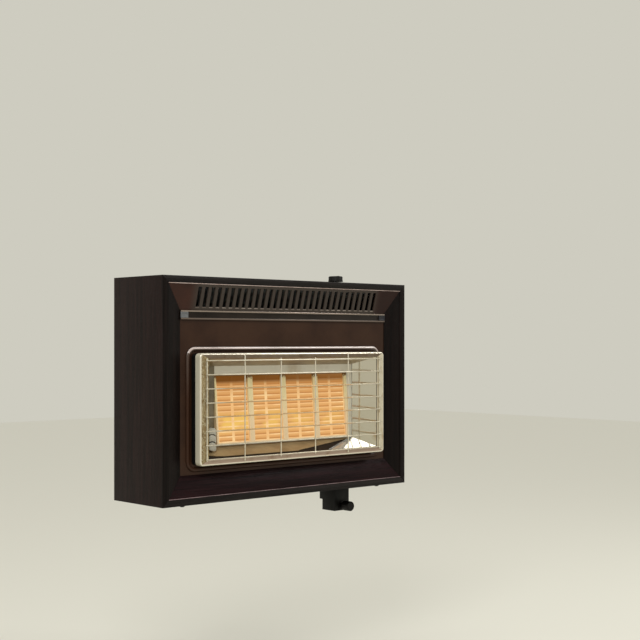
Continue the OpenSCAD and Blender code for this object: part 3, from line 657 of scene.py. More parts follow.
@dataclass(frozen=True)
class ScorchedFrame(Finish):
    """The burner's cover frame: cream at its foot, greenish above and brown along its top."""

    foot: Colour = srgb(240, 214, 172)
    middle: Colour = srgb(234, 218, 168)
    head: Colour = srgb(112, 78, 34)
    centre: tuple[float, float, float] = (0.0, -140.5, -41.5)
    half_height: float = 70.5

    def shade(self, graph: Graph) -> None:
        """Bands of scorching by height, broken up by a mottle.

        Args:
            graph: The material's graph.
        """
        height = graph.part(graph.place(centre=self.centre), Axis.Z)
        lift = height / (2 * self.half_height) + 0.5
        mottle = graph.cloud((0.35, 0.35, 0.35), 3.0, 0.6)
        tone = graph.ramp(
            lift + (mottle - 0.5) * 0.12,
            (
                (0.0, self.foot),
                (0.3, self.foot),
                (0.72, self.middle),
                (0.93, self.middle),
                (0.965, self.head),
            ),
        )
        graph.surface(
            Base_Color=graph.blend(mottle.rise(0.55, 0.75) * 0.35, tone, srgb(172, 150, 100)),
            Roughness=0.5 + (mottle - 0.5) * 0.2,
            Metallic=0.1,
            Normal=graph.bump(mottle, 0.1),
        )


@dataclass(frozen=True)
class Galvanised(Finish):
    """Zinc coated sheet with its spangle."""

    tone: Colour = srgb(172, 176, 178)
    deep: Colour = srgb(138, 142, 146)

    def shade(self, graph: Graph) -> None:
        """Crystals of differing brightness.

        Args:
            graph: The material's graph.
        """
        level = graph.part(graph.cells((0.09, 0.09, 0.09), "Color"), Axis.X)
        streak = graph.cloud((0.4, 0.4, 0.4), 3.0, 0.6)
        graph.surface(
            Base_Color=graph.blend(level, self.deep, self.tone),
            Roughness=0.32 + level * 0.2,
            Metallic=0.85,
            Normal=graph.bump(streak, 0.03),
        )


@dataclass(frozen=True)
class Machined(Finish):
    """Turned or drawn metal."""

    tone: Colour = srgb(196, 162, 92)
    dull: Colour = srgb(150, 118, 66)
    gloss: float = 0.3
    rings: tuple[float, float, float] = (0.2, 0.2, 2.0)

    def shade(self, graph: Graph) -> None:
        """Fine tool marks and a dull bloom.

        Args:
            graph: The material's graph.
        """
        marks = graph.cloud(self.rings, 2.0, 0.5)
        bloom = graph.cloud((0.06, 0.06, 0.06), 4.0, 0.6)
        graph.surface(
            Base_Color=graph.blend(bloom.rise(0.4, 0.7), self.tone, self.dull),
            Roughness=self.gloss + (marks - 0.5) * 0.2,
            Metallic=1.0,
            Normal=graph.bump(marks, 0.02),
        )


@dataclass(frozen=True)
class Moulded(Finish):
    """Moulded plastic, rubber or paint, with a fine grain."""

    tone: Colour = srgb(22, 22, 23)
    worn: Colour = srgb(40, 40, 41)
    gloss: float = 0.45
    grain: float = 0.05
    fineness: float = 1.6

    def shade(self, graph: Graph) -> None:
        """A fine grain and slight wear.

        Args:
            graph: The material's graph.
        """
        grain = graph.cloud((self.fineness,) * 3, 2.0, 0.5)
        wear = graph.cloud((0.12, 0.12, 0.12), 4.0, 0.65)
        graph.surface(
            Base_Color=graph.blend(wear.rise(0.5, 0.8), self.tone, self.worn),
            Roughness=self.gloss + (wear - 0.5) * 0.2,
            Normal=graph.bump(grain, self.grain),
            Specular_IOR_Level=0.2,
        )


@dataclass(frozen=True)
class CeramicFibre(Finish):
    """Pressed white ceramic fibre."""

    tone: Colour = srgb(232, 229, 218)

    def shade(self, graph: Graph) -> None:
        """Short matted fibres.

        Args:
            graph: The material's graph.
        """
        felt = graph.cloud((0.9, 0.9, 0.2), 4.0, 0.7)
        graph.surface(
            Base_Color=graph.blend(felt, srgb(206, 200, 184), self.tone),
            Roughness=0.95,
            Normal=graph.bump(felt, 0.3),
        )


WENGE_UPRIGHT = OpenGrainVeneer("wenge upright grain", Axis.Z)
# A darker copy of the upright veneer for the side boards' front faces: painted shade.
SHADED_WENGE_FRONT = OpenGrainVeneer(
    "wenge front grain painted shade", Axis.Z, srgb(9, 6, 5), srgb(25, 18, 16), 0.42, 0.08
)
WENGE_LEVEL = OpenGrainVeneer("wenge level grain", Axis.X, srgb(14, 10, 9), srgb(32, 26, 24))
MOULDING_UPRIGHT = OpenGrainVeneer(
    "moulding upright grain", Axis.Z, srgb(12, 8, 7), srgb(24, 16, 14), 0.42, 0.08
)
MOULDING_LEVEL = OpenGrainVeneer(
    "moulding level grain", Axis.X, srgb(14, 5, 6), srgb(37, 18, 20), 0.4, 0.06
)
# Pale arrises: rubbed edges and painted highlights; the upper arris faces down and is painted near
# white as a highlight.
ARRIS_WEAR_AND_HIGHLIGHT = ArrisWearAndHighlight("rubbed arris and painted highlight")
UPPER_ARRIS_HIGHLIGHT = ArrisWearAndHighlight("rubbed upper arris and painted highlight", srgb(250, 226, 220), srgb(206, 180, 174))
BROWN_ENAMEL = StoveEnamel("brown stove enamel")
# A lighter, coated copy of the brown enamel for the bead, darker towards its foot: painted
# highlight.
HIGHLIT_BEAD_ENAMEL = StoveEnamel(
    "bead stove enamel with painted highlight",
    srgb(78, 58, 46),
    srgb(60, 42, 32),
    0.34,
    0.02,
    0.18,
    coat=1.0,
    highlight_heights=(-30.0, 84.0),
)
# Pale enamel on the upper side of the bead over the opening: painted highlight.
BEAD_CREST_HIGHLIGHT = StoveEnamel(
    "bead crest painted highlight", srgb(206, 190, 184), srgb(160, 142, 134), 0.3, 0.02, 1.0, coat=1.0
)
GRILLE_ENAMEL = StoveEnamel(
    "grille stove enamel", srgb(58, 31, 22), srgb(42, 23, 16), 0.34, reach=262.0
)
# Pale enamel for the strip under each slot: painted highlight.
SLOT_FOOT_HIGHLIGHT = StoveEnamel("slot foot painted highlight", srgb(150, 138, 128), srgb(96, 84, 76), 0.34)
TRIM_ENAMEL = StoveEnamel("trim stove enamel", srgb(37, 29, 23), srgb(24, 18, 14), 0.3, 0.02)
# Paler metal finishes on the trim bar's lips: painted highlights.
TRIM_UPPER_HIGHLIGHT = RimSteel(
    "trim upper lip painted highlight", srgb(155, 141, 131), srgb(132, 117, 105), 0.1, 0.02, 0.9, 0.25
)
TRIM_LOWER_HIGHLIGHT = RimSteel("trim lower lip painted highlight", srgb(104, 90, 80), srgb(80, 68, 60), 0.1, 0.02, 0.4, 0.35)
RIM_STEEL = RimSteel("champagne rim")
RIM_BOTTOM = RimSteel("lower rim", srgb(168, 146, 129), srgb(141, 114, 91))
RIM_TOP = RimSteel("browned rim", srgb(110, 95, 77), srgb(87, 67, 45), 0.45)
# A paler copy of the rim's finish for its rolled corner: painted highlight.
RIM_EDGE_HIGHLIGHT = RimSteel(
    "rim edge painted highlight", srgb(232, 224, 206), srgb(206, 194, 168), 0.1, 0.05, 0.5, 0.25
)
RIM_WALL = RimSteel(
    "champagne rim wall", srgb(194, 187, 166), srgb(176, 166, 142), 0.1, 0.05, 0.0, 0.5
)
# The left strip: bronze tone and pale runs as painted reflections.
RIM_LEFT = RimSteel("buckled rim with painted reflections", srgb(164, 142, 102), srgb(96, 72, 38), 0.55, 1.6, 0.7, 0.3, 0.9)
SIDE_REFLECTOR = PolishedReflector("side reflector", tinted=0.0)
TOP_REFLECTOR = PolishedReflector(
    "top reflector", srgb(150, 132, 98), srgb(108, 84, 52), 0.25, 0.06, 0.3, 0.4
)
SHADED_BACK = PolishedReflector(
    "shaded back reflector", srgb(128, 118, 96), srgb(78, 68, 50), 0.35, 0.4, 0.3, 0.2
)
BACK_REFLECTOR = PolishedReflector(
    "back reflector", srgb(224, 219, 204), srgb(200, 188, 166), 0.12, 0.03, 0.3, 0.3
)
CORNER_REFLECTOR = PolishedReflector(
    "corner reflector", srgb(170, 171, 168), srgb(160, 157, 150), 0.0, 0.02, 0.05, 0.5
)
STAINED_REFLECTOR = PolishedReflector(
    "stained reflector", srgb(158, 138, 102), srgb(132, 110, 76), 0.3, 0.1, 0.45, 0.2
)
UPRIGHT_WIRE = PlatedWire("plated upright wire", burn=0.0)
LEVEL_WIRE = PlatedWire(
    "plated level wire",
    srgb(196, 188, 168),
    srgb(166, 154, 128),
    srgb(184, 142, 86),
    burn=0.7,
    metal=0.6,
)
PLAQUE_GLOW = GlowingCeramic("glowing plaque")
BURNER_FRAME = ScorchedFrame("scorched burner frame")
BURNER_STEEL = HeatTintedSteel("burner steel")
PILOT_STEEL = HeatTintedSteel(
    "pilot steel", srgb(176, 172, 158), srgb(146, 138, 118), 0.2, 0.2, 0.42
)
GALVANISED = Galvanised("galvanised sheet")
BRASS = Machined("turned brass")
COPPER = Machined("drawn copper", srgb(190, 120, 78), srgb(136, 82, 54), 0.34)
PLAIN_STEEL = Machined("drawn steel", srgb(172, 174, 178), srgb(130, 132, 136), 0.28)
# A near-black fill placed where there is only shade: painted shade.
DARK_SHADE_FILL = Moulded("painted shade dark fill", srgb(26, 18, 12), srgb(58, 42, 28), 0.7, 0.1, 0.4)
BLACK_PLASTIC = Moulded("black moulding", srgb(9, 6, 4), srgb(18, 14, 11), 0.5)
BLACK_PAINT = Moulded("black satin paint", srgb(7, 6, 5), srgb(13, 12, 11), 0.55, 0.04, 0.9)
GREY_PLASTIC = Moulded("grey moulding", srgb(98, 100, 102), srgb(116, 116, 114), 0.4)
DARK_PLASTIC = Moulded("slate moulding", srgb(40, 40, 44), srgb(56, 54, 54), 0.4)
SLEEVE = Moulded("silicone sleeve", srgb(92, 87, 84), srgb(110, 104, 98), 0.5)
INSULATOR = Moulded("glazed insulator", srgb(232, 230, 222), srgb(208, 200, 184), 0.18, 0.01)
FIBRE = CeramicFibre("ceramic fibre")


# ------------------------------------------------------------------ pieces

FRONT = Vector((0, -1, 0))
WELD = 0.002  # points of a copied node that lie this close are one
FLAT = 0.6  # faces that turn by less than these degrees are one flat face
NEAR = 0.1  # how close to a size a point counts as being on it
FACING = 0.9  # least part of a normal along an axis for a face that looks that way


def rectangle(half_width: float, low: float, high: float, y: float) -> list[Vector]:
    """Corners of an upright rectangle, centred in X.

    Args:
        half_width: Half its width.
        low: Height of its lower edge.
        high: Height of its upper edge.
        y: Its place in depth.

    Returns:
        The corners, anticlockwise as seen from the room.
    """
    return [Vector((x * half_width, y, z)) for x, z in ((-1, low), (1, low), (1, high), (-1, high))]


def arc(width: float, height: float, turn: float, count: int) -> list[tuple[float, float]]:
    """Steps over a rounded edge that starts upright.

    Args:
        width: Half-axis of the rounding across.
        height: Its half-axis outward.
        turn: How far it goes round, in radians.
        count: Number of steps.

    Returns:
        Width and rise of each step.
    """
    angles = [turn * i / count for i in range(count + 1)]
    return [
        (width * (cos(a) - cos(b)), height * (sin(b) - sin(a))) for a, b in zip(angles, angles[1:])
    ]


def part_way(first: float, second: float, share: float) -> float:
    """The value that lies a share of the way from one to another."""
    return first + (second - first) * share


@dataclass
class Handover:
    """How a finished form becomes a piece of the model."""

    finishes: Sequence[Finish]
    slot: str
    replaces: tuple[str, ...] = ()
    body: Body = Body.HEATER
    crease: float = 32.0
    wall: float = 0.0
    rounding: float = 0.0
    rounded_from: float = 40.0


class Form:
    """A piece in the making: a mesh in millimetres that operators shape."""

    def __init__(self) -> None:
        """Starts with nothing."""
        self.mesh = bmesh.new()

    def block(self, low: Point, high: Point) -> list[bmesh.types.BMVert]:
        """Adds a block between two corners.

        Args:
            low: Lowest corner.
            high: Highest corner.

        Returns:
            Its vertices.
        """
        made = bmesh.ops.create_cube(self.mesh, size=1.0)["verts"]
        low, high = Vector(low), Vector(high)
        bmesh.ops.scale(self.mesh, verts=made, vec=high - low)
        bmesh.ops.translate(self.mesh, verts=made, vec=(low + high) / 2)
        return made

    def rod(self, start: Point, end: Point, radius: float, sides: int, nose: float) -> None:
        """Adds a round rod between two points.

        Args:
            start: Middle of one end.
            end: Middle of the other end.
            radius: The rod's radius.
            sides: Sides of its section.
            nose: How far its ends are rounded.
        """
        start, end = Vector(start), Vector(end)
        run = end - start
        ends = {"radius1": radius, "radius2": radius, "depth": run.length}
        made = bmesh.ops.create_cone(self.mesh, cap_ends=True, segments=sides, **ends)["verts"]
        rims = dict.fromkeys(
            e for v in made for e in v.link_edges if abs(e.verts[0].co.z - e.verts[1].co.z) < NEAR
        )
        rounded = self.bevel(list(rims), nose, 3)
        made = list(dict.fromkeys([*(v for v in made if v.is_valid), *rounded]))
        turn = run.to_track_quat("Z", "Y").to_matrix()
        bmesh.ops.rotate(self.mesh, verts=made, cent=(0, 0, 0), matrix=turn)
        bmesh.ops.translate(self.mesh, verts=made, vec=(start + end) / 2)

    def bevel(
        self,
        geometry: "Sequence[bmesh.types.BMEdge | bmesh.types.BMVert]",
        width: float,
        segments: int,
        kind: str = "EDGES",
        paint: int = -1,
    ) -> list[bmesh.types.BMVert]:
        """Rounds edges or corner points.

        Args:
            geometry: The edges or points.
            width: The rounding's width.
            segments: Its segments.
            kind: "EDGES" or "VERTICES".
            paint: Index of the finish on the rounding, or -1 for its neighbours'.

        Returns:
            The points that it makes.
        """
        return bmesh.ops.bevel(
            self.mesh,
            geom=geometry,
            offset=width,
            offset_type="OFFSET",
            segments=segments,
            profile=0.5,
            affect=kind,
            clamp_overlap=kind == "EDGES",
            material=paint,
        )["verts"]

    def soften(
        self,
        width: float,
        segments: int = 2,
        angle: float = 40.0,
        where: Callable[[bmesh.types.BMEdge], bool] = lambda edge: True,
        paint: int = -1,
    ) -> "Form":
        """Rounds the edges that turn by more than an angle.

        Args:
            width: The rounding's width.
            segments: Its segments.
            angle: Least angle between the faces, in degrees.
            where: A further test for an edge.
            paint: Index of the finish on the rounding, or -1 for its neighbours'.

        Returns:
            The form itself.
        """
        edges = [
            e
            for e in self.mesh.edges
            if len(e.link_faces) == 2 and e.calc_face_angle(0.0) > radians(angle) and where(e)
        ]
        self.bevel(edges, width, segments, paint=paint)
        return self

    def face(self, corners: Iterable[Point]) -> bmesh.types.BMFace:
        """Adds one face between its corners."""
        return self.mesh.faces.new([self.mesh.verts.new(c) for c in corners])

    def rounded_face(
        self, corners: Sequence[Point], radius: float, steps: int
    ) -> bmesh.types.BMFace:
        """Adds one face with rounded corners that looks into the room.

        Args:
            corners: Its corners before the rounding.
            radius: The rounding's radius.
            steps: Its segments.

        Returns:
            The face.
        """
        self.face(corners)
        self.bevel(list(self.mesh.verts), radius, steps, "VERTICES")
        face = self.mesh.faces[:][0]
        face.normal_update()
        if face.normal.dot(FRONT) < 0:
            bmesh.ops.reverse_faces(self.mesh, faces=[face])
        return face

    def step(
        self, faces: Sequence[bmesh.types.BMFace], steps: Iterable[tuple[float, float]]
    ) -> None:
        """Insets a region again and again.

        Args:
            faces: The region.
            steps: Width and rise of each inset.
        """
        for width, rise in steps:
            bmesh.ops.inset_region(
                self.mesh,
                faces=faces,
                thickness=width,
                depth=rise,
                use_even_offset=True,
                use_boundary=True,
            )

    def fold(self, edges: Iterable[bmesh.types.BMEdge], move: Point) -> None:
        """Pulls a strip out of open edges.

        Args:
            edges: The edges.
            move: How far and which way the strip goes.
        """
        made = bmesh.ops.extrude_edge_only(self.mesh, edges=list(edges))["geom"]
        moved = [g for g in made if isinstance(g, bmesh.types.BMVert)]
        bmesh.ops.translate(self.mesh, verts=moved, vec=move)

    def bridge(
        self, edges: Iterable[bmesh.types.BMEdge], corners: Sequence[Point]
    ) -> list[bmesh.types.BMEdge]:
        """Fills the ring between a loop of edges and a new outline.

        Args:
            edges: The loop.
            corners: Corners of the outline.

        Returns:
            The outline's edges.
        """
        points = [self.mesh.verts.new(c) for c in corners]
        border = [self.mesh.edges.new(pair) for pair in zip(points, points[1:] + points[:1])]
        bmesh.ops.bridge_loops(self.mesh, edges=[*edges, *border])
        return border

    def drop(self, faces: list[bmesh.types.BMFace]) -> None:
        """Takes faces out and leaves their edges."""
        bmesh.ops.delete(self.mesh, geom=faces, context="FACES_ONLY")

    def look(self, way: Vector) -> None:
        """Turns an open sheet's normals so that most of it looks one way.

        Args:
            way: The direction.
        """
        bmesh.ops.recalc_face_normals(self.mesh, faces=self.mesh.faces)
        if sum(f.normal.dot(way) * f.calc_area() for f in self.mesh.faces) < 0:
            bmesh.ops.reverse_faces(self.mesh, faces=self.mesh.faces)

    def copy(self, *nodes: bpy.types.Object) -> "Form":
        """Adds welded copies of frame nodes, with their flat faces made whole.

        Args:
            nodes: The nodes.

        Returns:
            The form itself.
        """
        for node in nodes:
            self.mesh.from_mesh(node.data)
        bmesh.ops.scale(self.mesh, verts=self.mesh.verts, vec=(1 / MM,) * 3)
        bmesh.ops.remove_doubles(self.mesh, verts=self.mesh.verts, dist=WELD)
        whole = {"verts": self.mesh.verts, "edges": self.mesh.edges, "delimit": set()}
        bmesh.ops.dissolve_limit(self.mesh, angle_limit=radians(FLAT), **whole)
        return self

    def cut(self, point: Point, normal: Point, drop: bool = False) -> None:
        """Cuts along a plane.

        Args:
            point: A point on the plane.
            normal: The plane's direction.
            drop: Whether what lies on the normal's side goes.
        """
        geometry = [*self.mesh.verts, *self.mesh.edges, *self.mesh.faces]
        plane = {"plane_co": point, "plane_no": normal, "clear_outer": drop}
        bmesh.ops.bisect_plane(self.mesh, geom=geometry, dist=1e-5, **plane)

    def turn(self, centre: Point, degrees: float) -> "Form":
        """Turns the form about an X axis.

        Args:
            centre: A point on the axis.
            degrees: How far it turns.

        Returns:
            The form itself.
        """
        matrix = Matrix.Rotation(radians(degrees), 3, "X")
        bmesh.ops.rotate(self.mesh, verts=self.mesh.verts, cent=Vector(centre), matrix=matrix)
        return self

    def shift(self, move: Point, test: Callable[[Vector], bool] = lambda spot: True) -> None:
        """Moves the points that pass a test."""
        chosen = [v for v in self.mesh.verts if test(v.co)]
        bmesh.ops.translate(self.mesh, verts=chosen, vec=move)

    def paint(self, index: int, test: Callable[[bmesh.types.BMFace], bool]) -> "Form":
        """Gives some faces another finish.

        Args:
            index: The finish's index.
            test: Whether a face gets it.

        Returns:
            The form itself.
        """
        for face in self.mesh.faces:
            if test(face):
                face.material_index = index
        return self

    def hand_over(self, name: str, how: Handover) -> None:
        """Turns the form into a piece of the model, in metres.

        Args:
            name: The piece's name.
            how: Its finishes, slot, body and what it replaces.
        """
        bmesh.ops.scale(self.mesh, verts=self.mesh.verts, vec=(MM,) * 3)
        self.mesh.normal_update()
        crease = radians(how.crease)
        for edge in self.mesh.edges:
            edge.smooth = len(edge.link_faces) == 2 and edge.calc_face_angle(0.0) < crease
        for face in self.mesh.faces:
            face.smooth = True
        data = bpy.data.meshes.new(name)
        self.mesh.to_mesh(data)
        self.mesh.free()
        if "custom_normal" in data.attributes:
            data.attributes.remove(data.attributes["custom_normal"])
        for finish in how.finishes:
            data.materials.append(finish.material())
        piece = bpy.data.objects.new(name, data)
        bpy.context.scene.collection.objects.link(piece)
        if how.wall:
            sheet = piece.modifiers.new("sheet", "SOLIDIFY")
            sheet.thickness = how.wall * MM
            sheet.offset = -1.0
            sheet.use_even_offset = True
        if how.rounding:
            eased = piece.modifiers.new("eased", "BEVEL")
            eased.width = how.rounding * MM
            eased.segments = 2
            eased.limit_method = "ANGLE"
            eased.angle_limit = radians(how.rounded_from)
        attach(piece, how.body.value)
        if how.replaces:
            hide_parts(*how.replaces)
        LOG.info("%s: %d faces", name, len(data.polygons))


@dataclass
class Assembly:
    """What the sub-assemblies share: the frame's nodes."""

    nodes: dict[str, bpy.types.Object]

    def form(self, *names: str) -> Form:
        """A form made of copies of frame nodes."""
        return Form().copy(*(self.nodes[name] for name in names))

    def dress(self, finish: Finish, *names: str) -> None:
        """Gives frame nodes that stay a finish.

        Args:
            finish: The finish.
            names: The nodes.
        """
        for name in names:
            for holder in self.nodes[name].material_slots:
                holder.material = finish.material()
            LOG.info("%s: %s", name, finish.label)


# ------------------------------------------------------------------ the wooden case


@dataclass
class WoodenCase(Assembly):
    """Four mitred boards, three sloping mouldings and two screws."""

    half_height: float = 225.0
    depth: float = 170.0
    board: float = 15.0
    ease: float = 0.9
    eased_from: float = 30.0
    mitre_ease: float = 0.25
    screw_ease: float = 0.25
    screw_eased_from: float = 38.0
    long_arris: float = 100.0

    def build(self) -> None:
        """Builds the boards, mouldings and screws."""
        self.boards()
        self.mouldings()
        self.screws()

    def _is_pale(self, edge: bmesh.types.BMEdge) -> bool:
        """Whether an edge is the inner front arris of a level board.

        Args:
            edge: An edge of the board.

        Returns:
            True for the inner front arris.
        """
        inner = self.half_height - self.board
        spots = [v.co for v in edge.verts]
        return all(abs(abs(s.z) - inner) < NEAR and abs(s.y + self.depth) < NEAR for s in spots)

    def _is_dark(self, edge: bmesh.types.BMEdge, level: bool) -> bool:
        """Whether an edge is a long arris that keeps its veneer's tone."""
        return edge.calc_length() > self.long_arris and not (level and self._is_pale(edge))

    def boards(self) -> None:
        """Eases the long arrises of each board; the inner front ones are painted pale, as rubbed
        edges and as a painted highlight.
        """
        for name in ("case_left_side", "case_right_side", "case_top", "case_bottom"):
            level = name in ("case_top", "case_bottom")
            form = self.form(name)
            # The side boards' front faces get the darker veneer: painted shade.
            form.paint(2, lambda f: not level and f.normal.y < -FACING)
            # The inner front arris of a level board is painted pale: rubbed edge and painted
            # highlight.
            form.soften(self.ease, 2, self.eased_from, lambda e: level and self._is_pale(e), 1)
            form.soften(self.ease, 3, where=lambda e: self._is_dark(e, level))
            finish = WENGE_LEVEL if level else WENGE_UPRIGHT
            finishes = (finish, UPPER_ARRIS_HIGHLIGHT if name == "case_top" else ARRIS_WEAR_AND_HIGHLIGHT, SHADED_WENGE_FRONT)
            form.hand_over(
                name + "_veneered", Handover(finishes, "wenge_veneer", (name,), crease=60)
            )

    def mouldings(self) -> None:
        """Eases the mouldings' edges."""
        for name in ("bevel_left", "bevel_right", "bevel_bottom"):
            finish = MOULDING_LEVEL if name == "bevel_bottom" else MOULDING_UPRIGHT
            form = self.form(name).soften(self.mitre_ease, angle=self.eased_from)
            form.hand_over(name + "_stained", Handover((finish,), "stained_moulding", (name,)))

    def screws(self) -> None:
        """Rounds the heads of the screws under the case."""
        form = self.form("case_screws").soften(self.screw_ease, angle=self.screw_eased_from)
        how = Handover((BLACK_PAINT,), "black_paint", ("case_screws",))
        form.hand_over("case_screws_painted", how)


# ------------------------------------------------------------------ grille, trim and panel


@dataclass
class GrilleAndTrim(Assembly):
    """The sloping outlet grille and the trim bar below it."""

    half_width: float = 320.0
    lower_half_width: float = 283.0
    top: float = 210.0
    bottom: float = 158.0
    upper_y: float = -168.8
    lower_y: float = -154.6
    sheet: float = 1.0
    slots: int = 30
    pitch: float = 16.7
    slot_width: float = 9.0
    slot_length: float = 41.0
    slot_centre: float = 184.5
    slot_lip: float = 3.2
    slot_foot_highlight: float = 1.5
    slot_ease: float = 0.3
    trim_ease: float = 0.5
    block_ease: float = 0.3
    trim_face: float = -158.0
    trim_floor: float = -155.8
    trim_bottom: float = 140.0
    trim_lip: float = 3.0
    lip_margin: float = 0.2
    upper_lip_front: float = -154.5
    lower_lip_depth: float = 0.6
    block_width: float = 18.0
    block_back: float = 0.2
    block_steps: tuple[tuple[float, float], ...] = ((2.2, 0.0), (0.5, -0.8))

    def build(self) -> None:
        """Builds the grille, the bar and its end blocks."""
        self.grille()
        self.trim()
        self.trim_ends()

    def grille(self) -> None:
        """Cuts the slots in a sloping sheet, turns their edges in and paints a pale strip under
        each slot as a highlight.
        """
        form = Form()
        down = Vector((0, self.lower_y - self.upper_y, self.bottom - self.top)).normalized()
        out = Vector((0, down.z, -down.y))
        upper = [(side * self.half_width, self.upper_y, self.top) for side in (-1, 1)]
        lower = [(side * self.lower_half_width, self.lower_y, self.bottom) for side in (-1, 1)]
        form.face((upper[0], lower[0], lower[1], upper[1]))
        middle = Vector((0, (self.upper_y + self.lower_y) / 2, self.slot_centre))
        for i in range(self.slots):
            for side in (-1, 1):
                x = (i - (self.slots - 1) / 2) * self.pitch + side * self.slot_width / 2
                form.cut((x, 0, 0), (1, 0, 0))
        half = self.slot_length / 2
        for reach in (-half, half, half + self.slot_foot_highlight):
            form.cut(middle + down * reach, down)
        holes = []
        for face in form.mesh.faces:
            centre = face.calc_center_median()
            place = centre.x / self.pitch + (self.slots - 1) / 2
            number = round(place)
            reach = (centre - middle).dot(down)
            if abs(place - number) * self.pitch > NEAR or number not in range(self.slots):
                continue
            if abs(reach) < half:
                holes.append(face)
            elif half < reach < half + self.slot_foot_highlight:
                # A narrow strip under each slot gets the pale enamel: painted highlight.
                face.material_index = 1
        rims = dict.fromkeys(e for f in holes for e in f.edges)
        form.drop(holes)
        form.fold(rims, -out * self.slot_lip)
        form.look(out)
        finishes = (GRILLE_ENAMEL, SLOT_FOOT_HIGHLIGHT)
        nodes = ("outlet_grille",)
        how = Handover(finishes, "brown_enamel", nodes, wall=self.sheet, rounding=self.slot_ease)
        form.hand_over("outlet_grille_pressed", how)

    def trim(self) -> None:
        """Eases the bar's edges and gives its lips paler finishes as painted highlights."""
        form = self.form("trim_bar").soften(self.trim_ease)
        form.paint(1, self._on_upper_lip).paint(2, self._on_lower_lip)
        how = Handover((TRIM_ENAMEL, TRIM_UPPER_HIGHLIGHT, TRIM_LOWER_HIGHLIGHT), "trim_metal", ("trim_bar",))
        form.hand_over("trim_bar_bright", how)

    def _on_upper_lip(self, face: bmesh.types.BMFace) -> bool:
        """Whether a face lies on the bar's upper lip."""
        centre, low = face.calc_center_median(), self.bottom - self.trim_lip - self.lip_margin
        return centre.z > low and centre.y < self.upper_lip_front

    def _on_lower_lip(self, face: bmesh.types.BMFace) -> bool:
        """Whether a face lies on the front of the bar's lower lip."""
        centre, high = face.calc_center_median(), self.trim_bottom + self.trim_lip + self.lip_margin
        return centre.z < high and centre.y < self.trim_face + self.lower_lip_depth

    def trim_ends(self) -> None:
        """Makes the blocks in the bar's ends: a grey one at the left, a slate one at the right."""
        low, high = self.trim_bottom + self.trim_lip, self.bottom - self.trim_lip
        for hand, finish, name in ((-1, GREY_PLASTIC, "left"), (1, DARK_PLASTIC, "right")):
            form = Form()
            inner = self.lower_half_width - self.block_width
            near, far = sorted((hand * self.lower_half_width, hand * inner))
            form.block((near, self.trim_face + self.block_back, low), (far, self.trim_floor, high))
            front = [f for f in form.mesh.faces if f.normal.y < -FACING]
            form.step(front, self.block_steps)
            form.soften(self.block_ease)
            how = Handover((finish,), "grey_plastic", ("trim_bar_ends",))
            form.hand_over(f"trim_block_{name}", how)


@dataclass
class FrontPanel(Assembly):
    """The brown panel: a pressed sheet with a bead round the opening and folded edges."""

    half_width: float = 295.0
    low: float = -180.0
    high: float = 158.0
    front: float = -153.6
    sheet: float = 1.2
    fold: float = 14.0
    fold_radius: float = 1.0
    folded_from: float = 60.0
    long_fold: float = 60.0
    rim_half_width: float = 255.0
    rim_low: float = -149.0
    rim_high: float = 73.0
    rim_radius: float = 8.0
    corner_steps: int = 10
    bead_in: float = 5.0
    bead_width: float = 7.0
    bead_height: float = 3.0
    bead_steps: int = 8
    foot: float = 1.6
    under_rim: float = 0.6
    bead_from: float = 0.3
    crest_from: float = 1.2
    crest_slope: float = 0.05

    def build(self) -> None:
        """Presses the bead ring by ring, bridges it to the outline and folds the edges."""
        form = Form()
        margin = self.bead_in + self.bead_width + self.foot
        sides = (self.rim_half_width + margin, self.rim_low - margin, self.rim_high + margin)
        corners = rectangle(*sides, self.front)
        middle = form.rounded_face(corners, self.rim_radius + margin, self.corner_steps)
        outer = list(middle.edges)
        form.step([middle], self._bead())
        form.drop([middle])
        outline = rectangle(self.half_width, self.low, self.high, self.front)
        border = form.bridge([e for e in outer if e.is_valid], outline)
        folded = [e for e in border if any(abs(v.co.z - self.high) > NEAR for v in e.verts)]
        form.fold(folded, (0, self.fold, 0))
        form.look(FRONT)
        form.soften(self.fold_radius, 3, self.folded_from, self._is_long)
        # The bead gets the lighter enamel: painted highlight.
        form.paint(1, lambda f: f.calc_center_median().y < self.front - self.bead_from)
        # The bead's upper crest gets the pale enamel: painted highlight.
        form.paint(2, self._on_crest)
        finishes = (BROWN_ENAMEL, HIGHLIT_BEAD_ENAMEL, BEAD_CREST_HIGHLIGHT)
        how = Handover(finishes, "brown_enamel", ("front_panel",), crease=50, wall=self.sheet)
        form.hand_over("front_panel_pressed", how)

    def _is_long(self, edge: bmesh.types.BMEdge) -> bool:
        """Whether an edge is a fold of the panel rather than a part of its bead."""
        return edge.calc_length() > self.long_fold

    def _on_crest(self, face: bmesh.types.BMFace) -> bool:
        """Whether a face lies on the upper side of the bead above the opening.

        Args:
            face: A face of the panel.

        Returns:
            True for a face of the bead's crest.
        """
        centre = face.calc_center_median()
        raised = centre.y < self.front - self.crest_from
        return raised and centre.z > self.rim_high and face.normal.z > self.crest_slope

    def _bead(self) -> list[tuple[float, float]]:
        """Steps inward over the bead.

        Returns:
            Width and rise of each step, from outside the bead to the hole.
        """
        half = (self.bead_width + self.foot) / 2
        over = arc(half, self.bead_height, pi, self.bead_steps)
        inside = self.bead_in + self.under_rim - self.foot / 2
        return [(self.foot / 2, 0.0), *over, (inside, 0.0)]


# ------------------------------------------------------------------ rim, neck and reflector


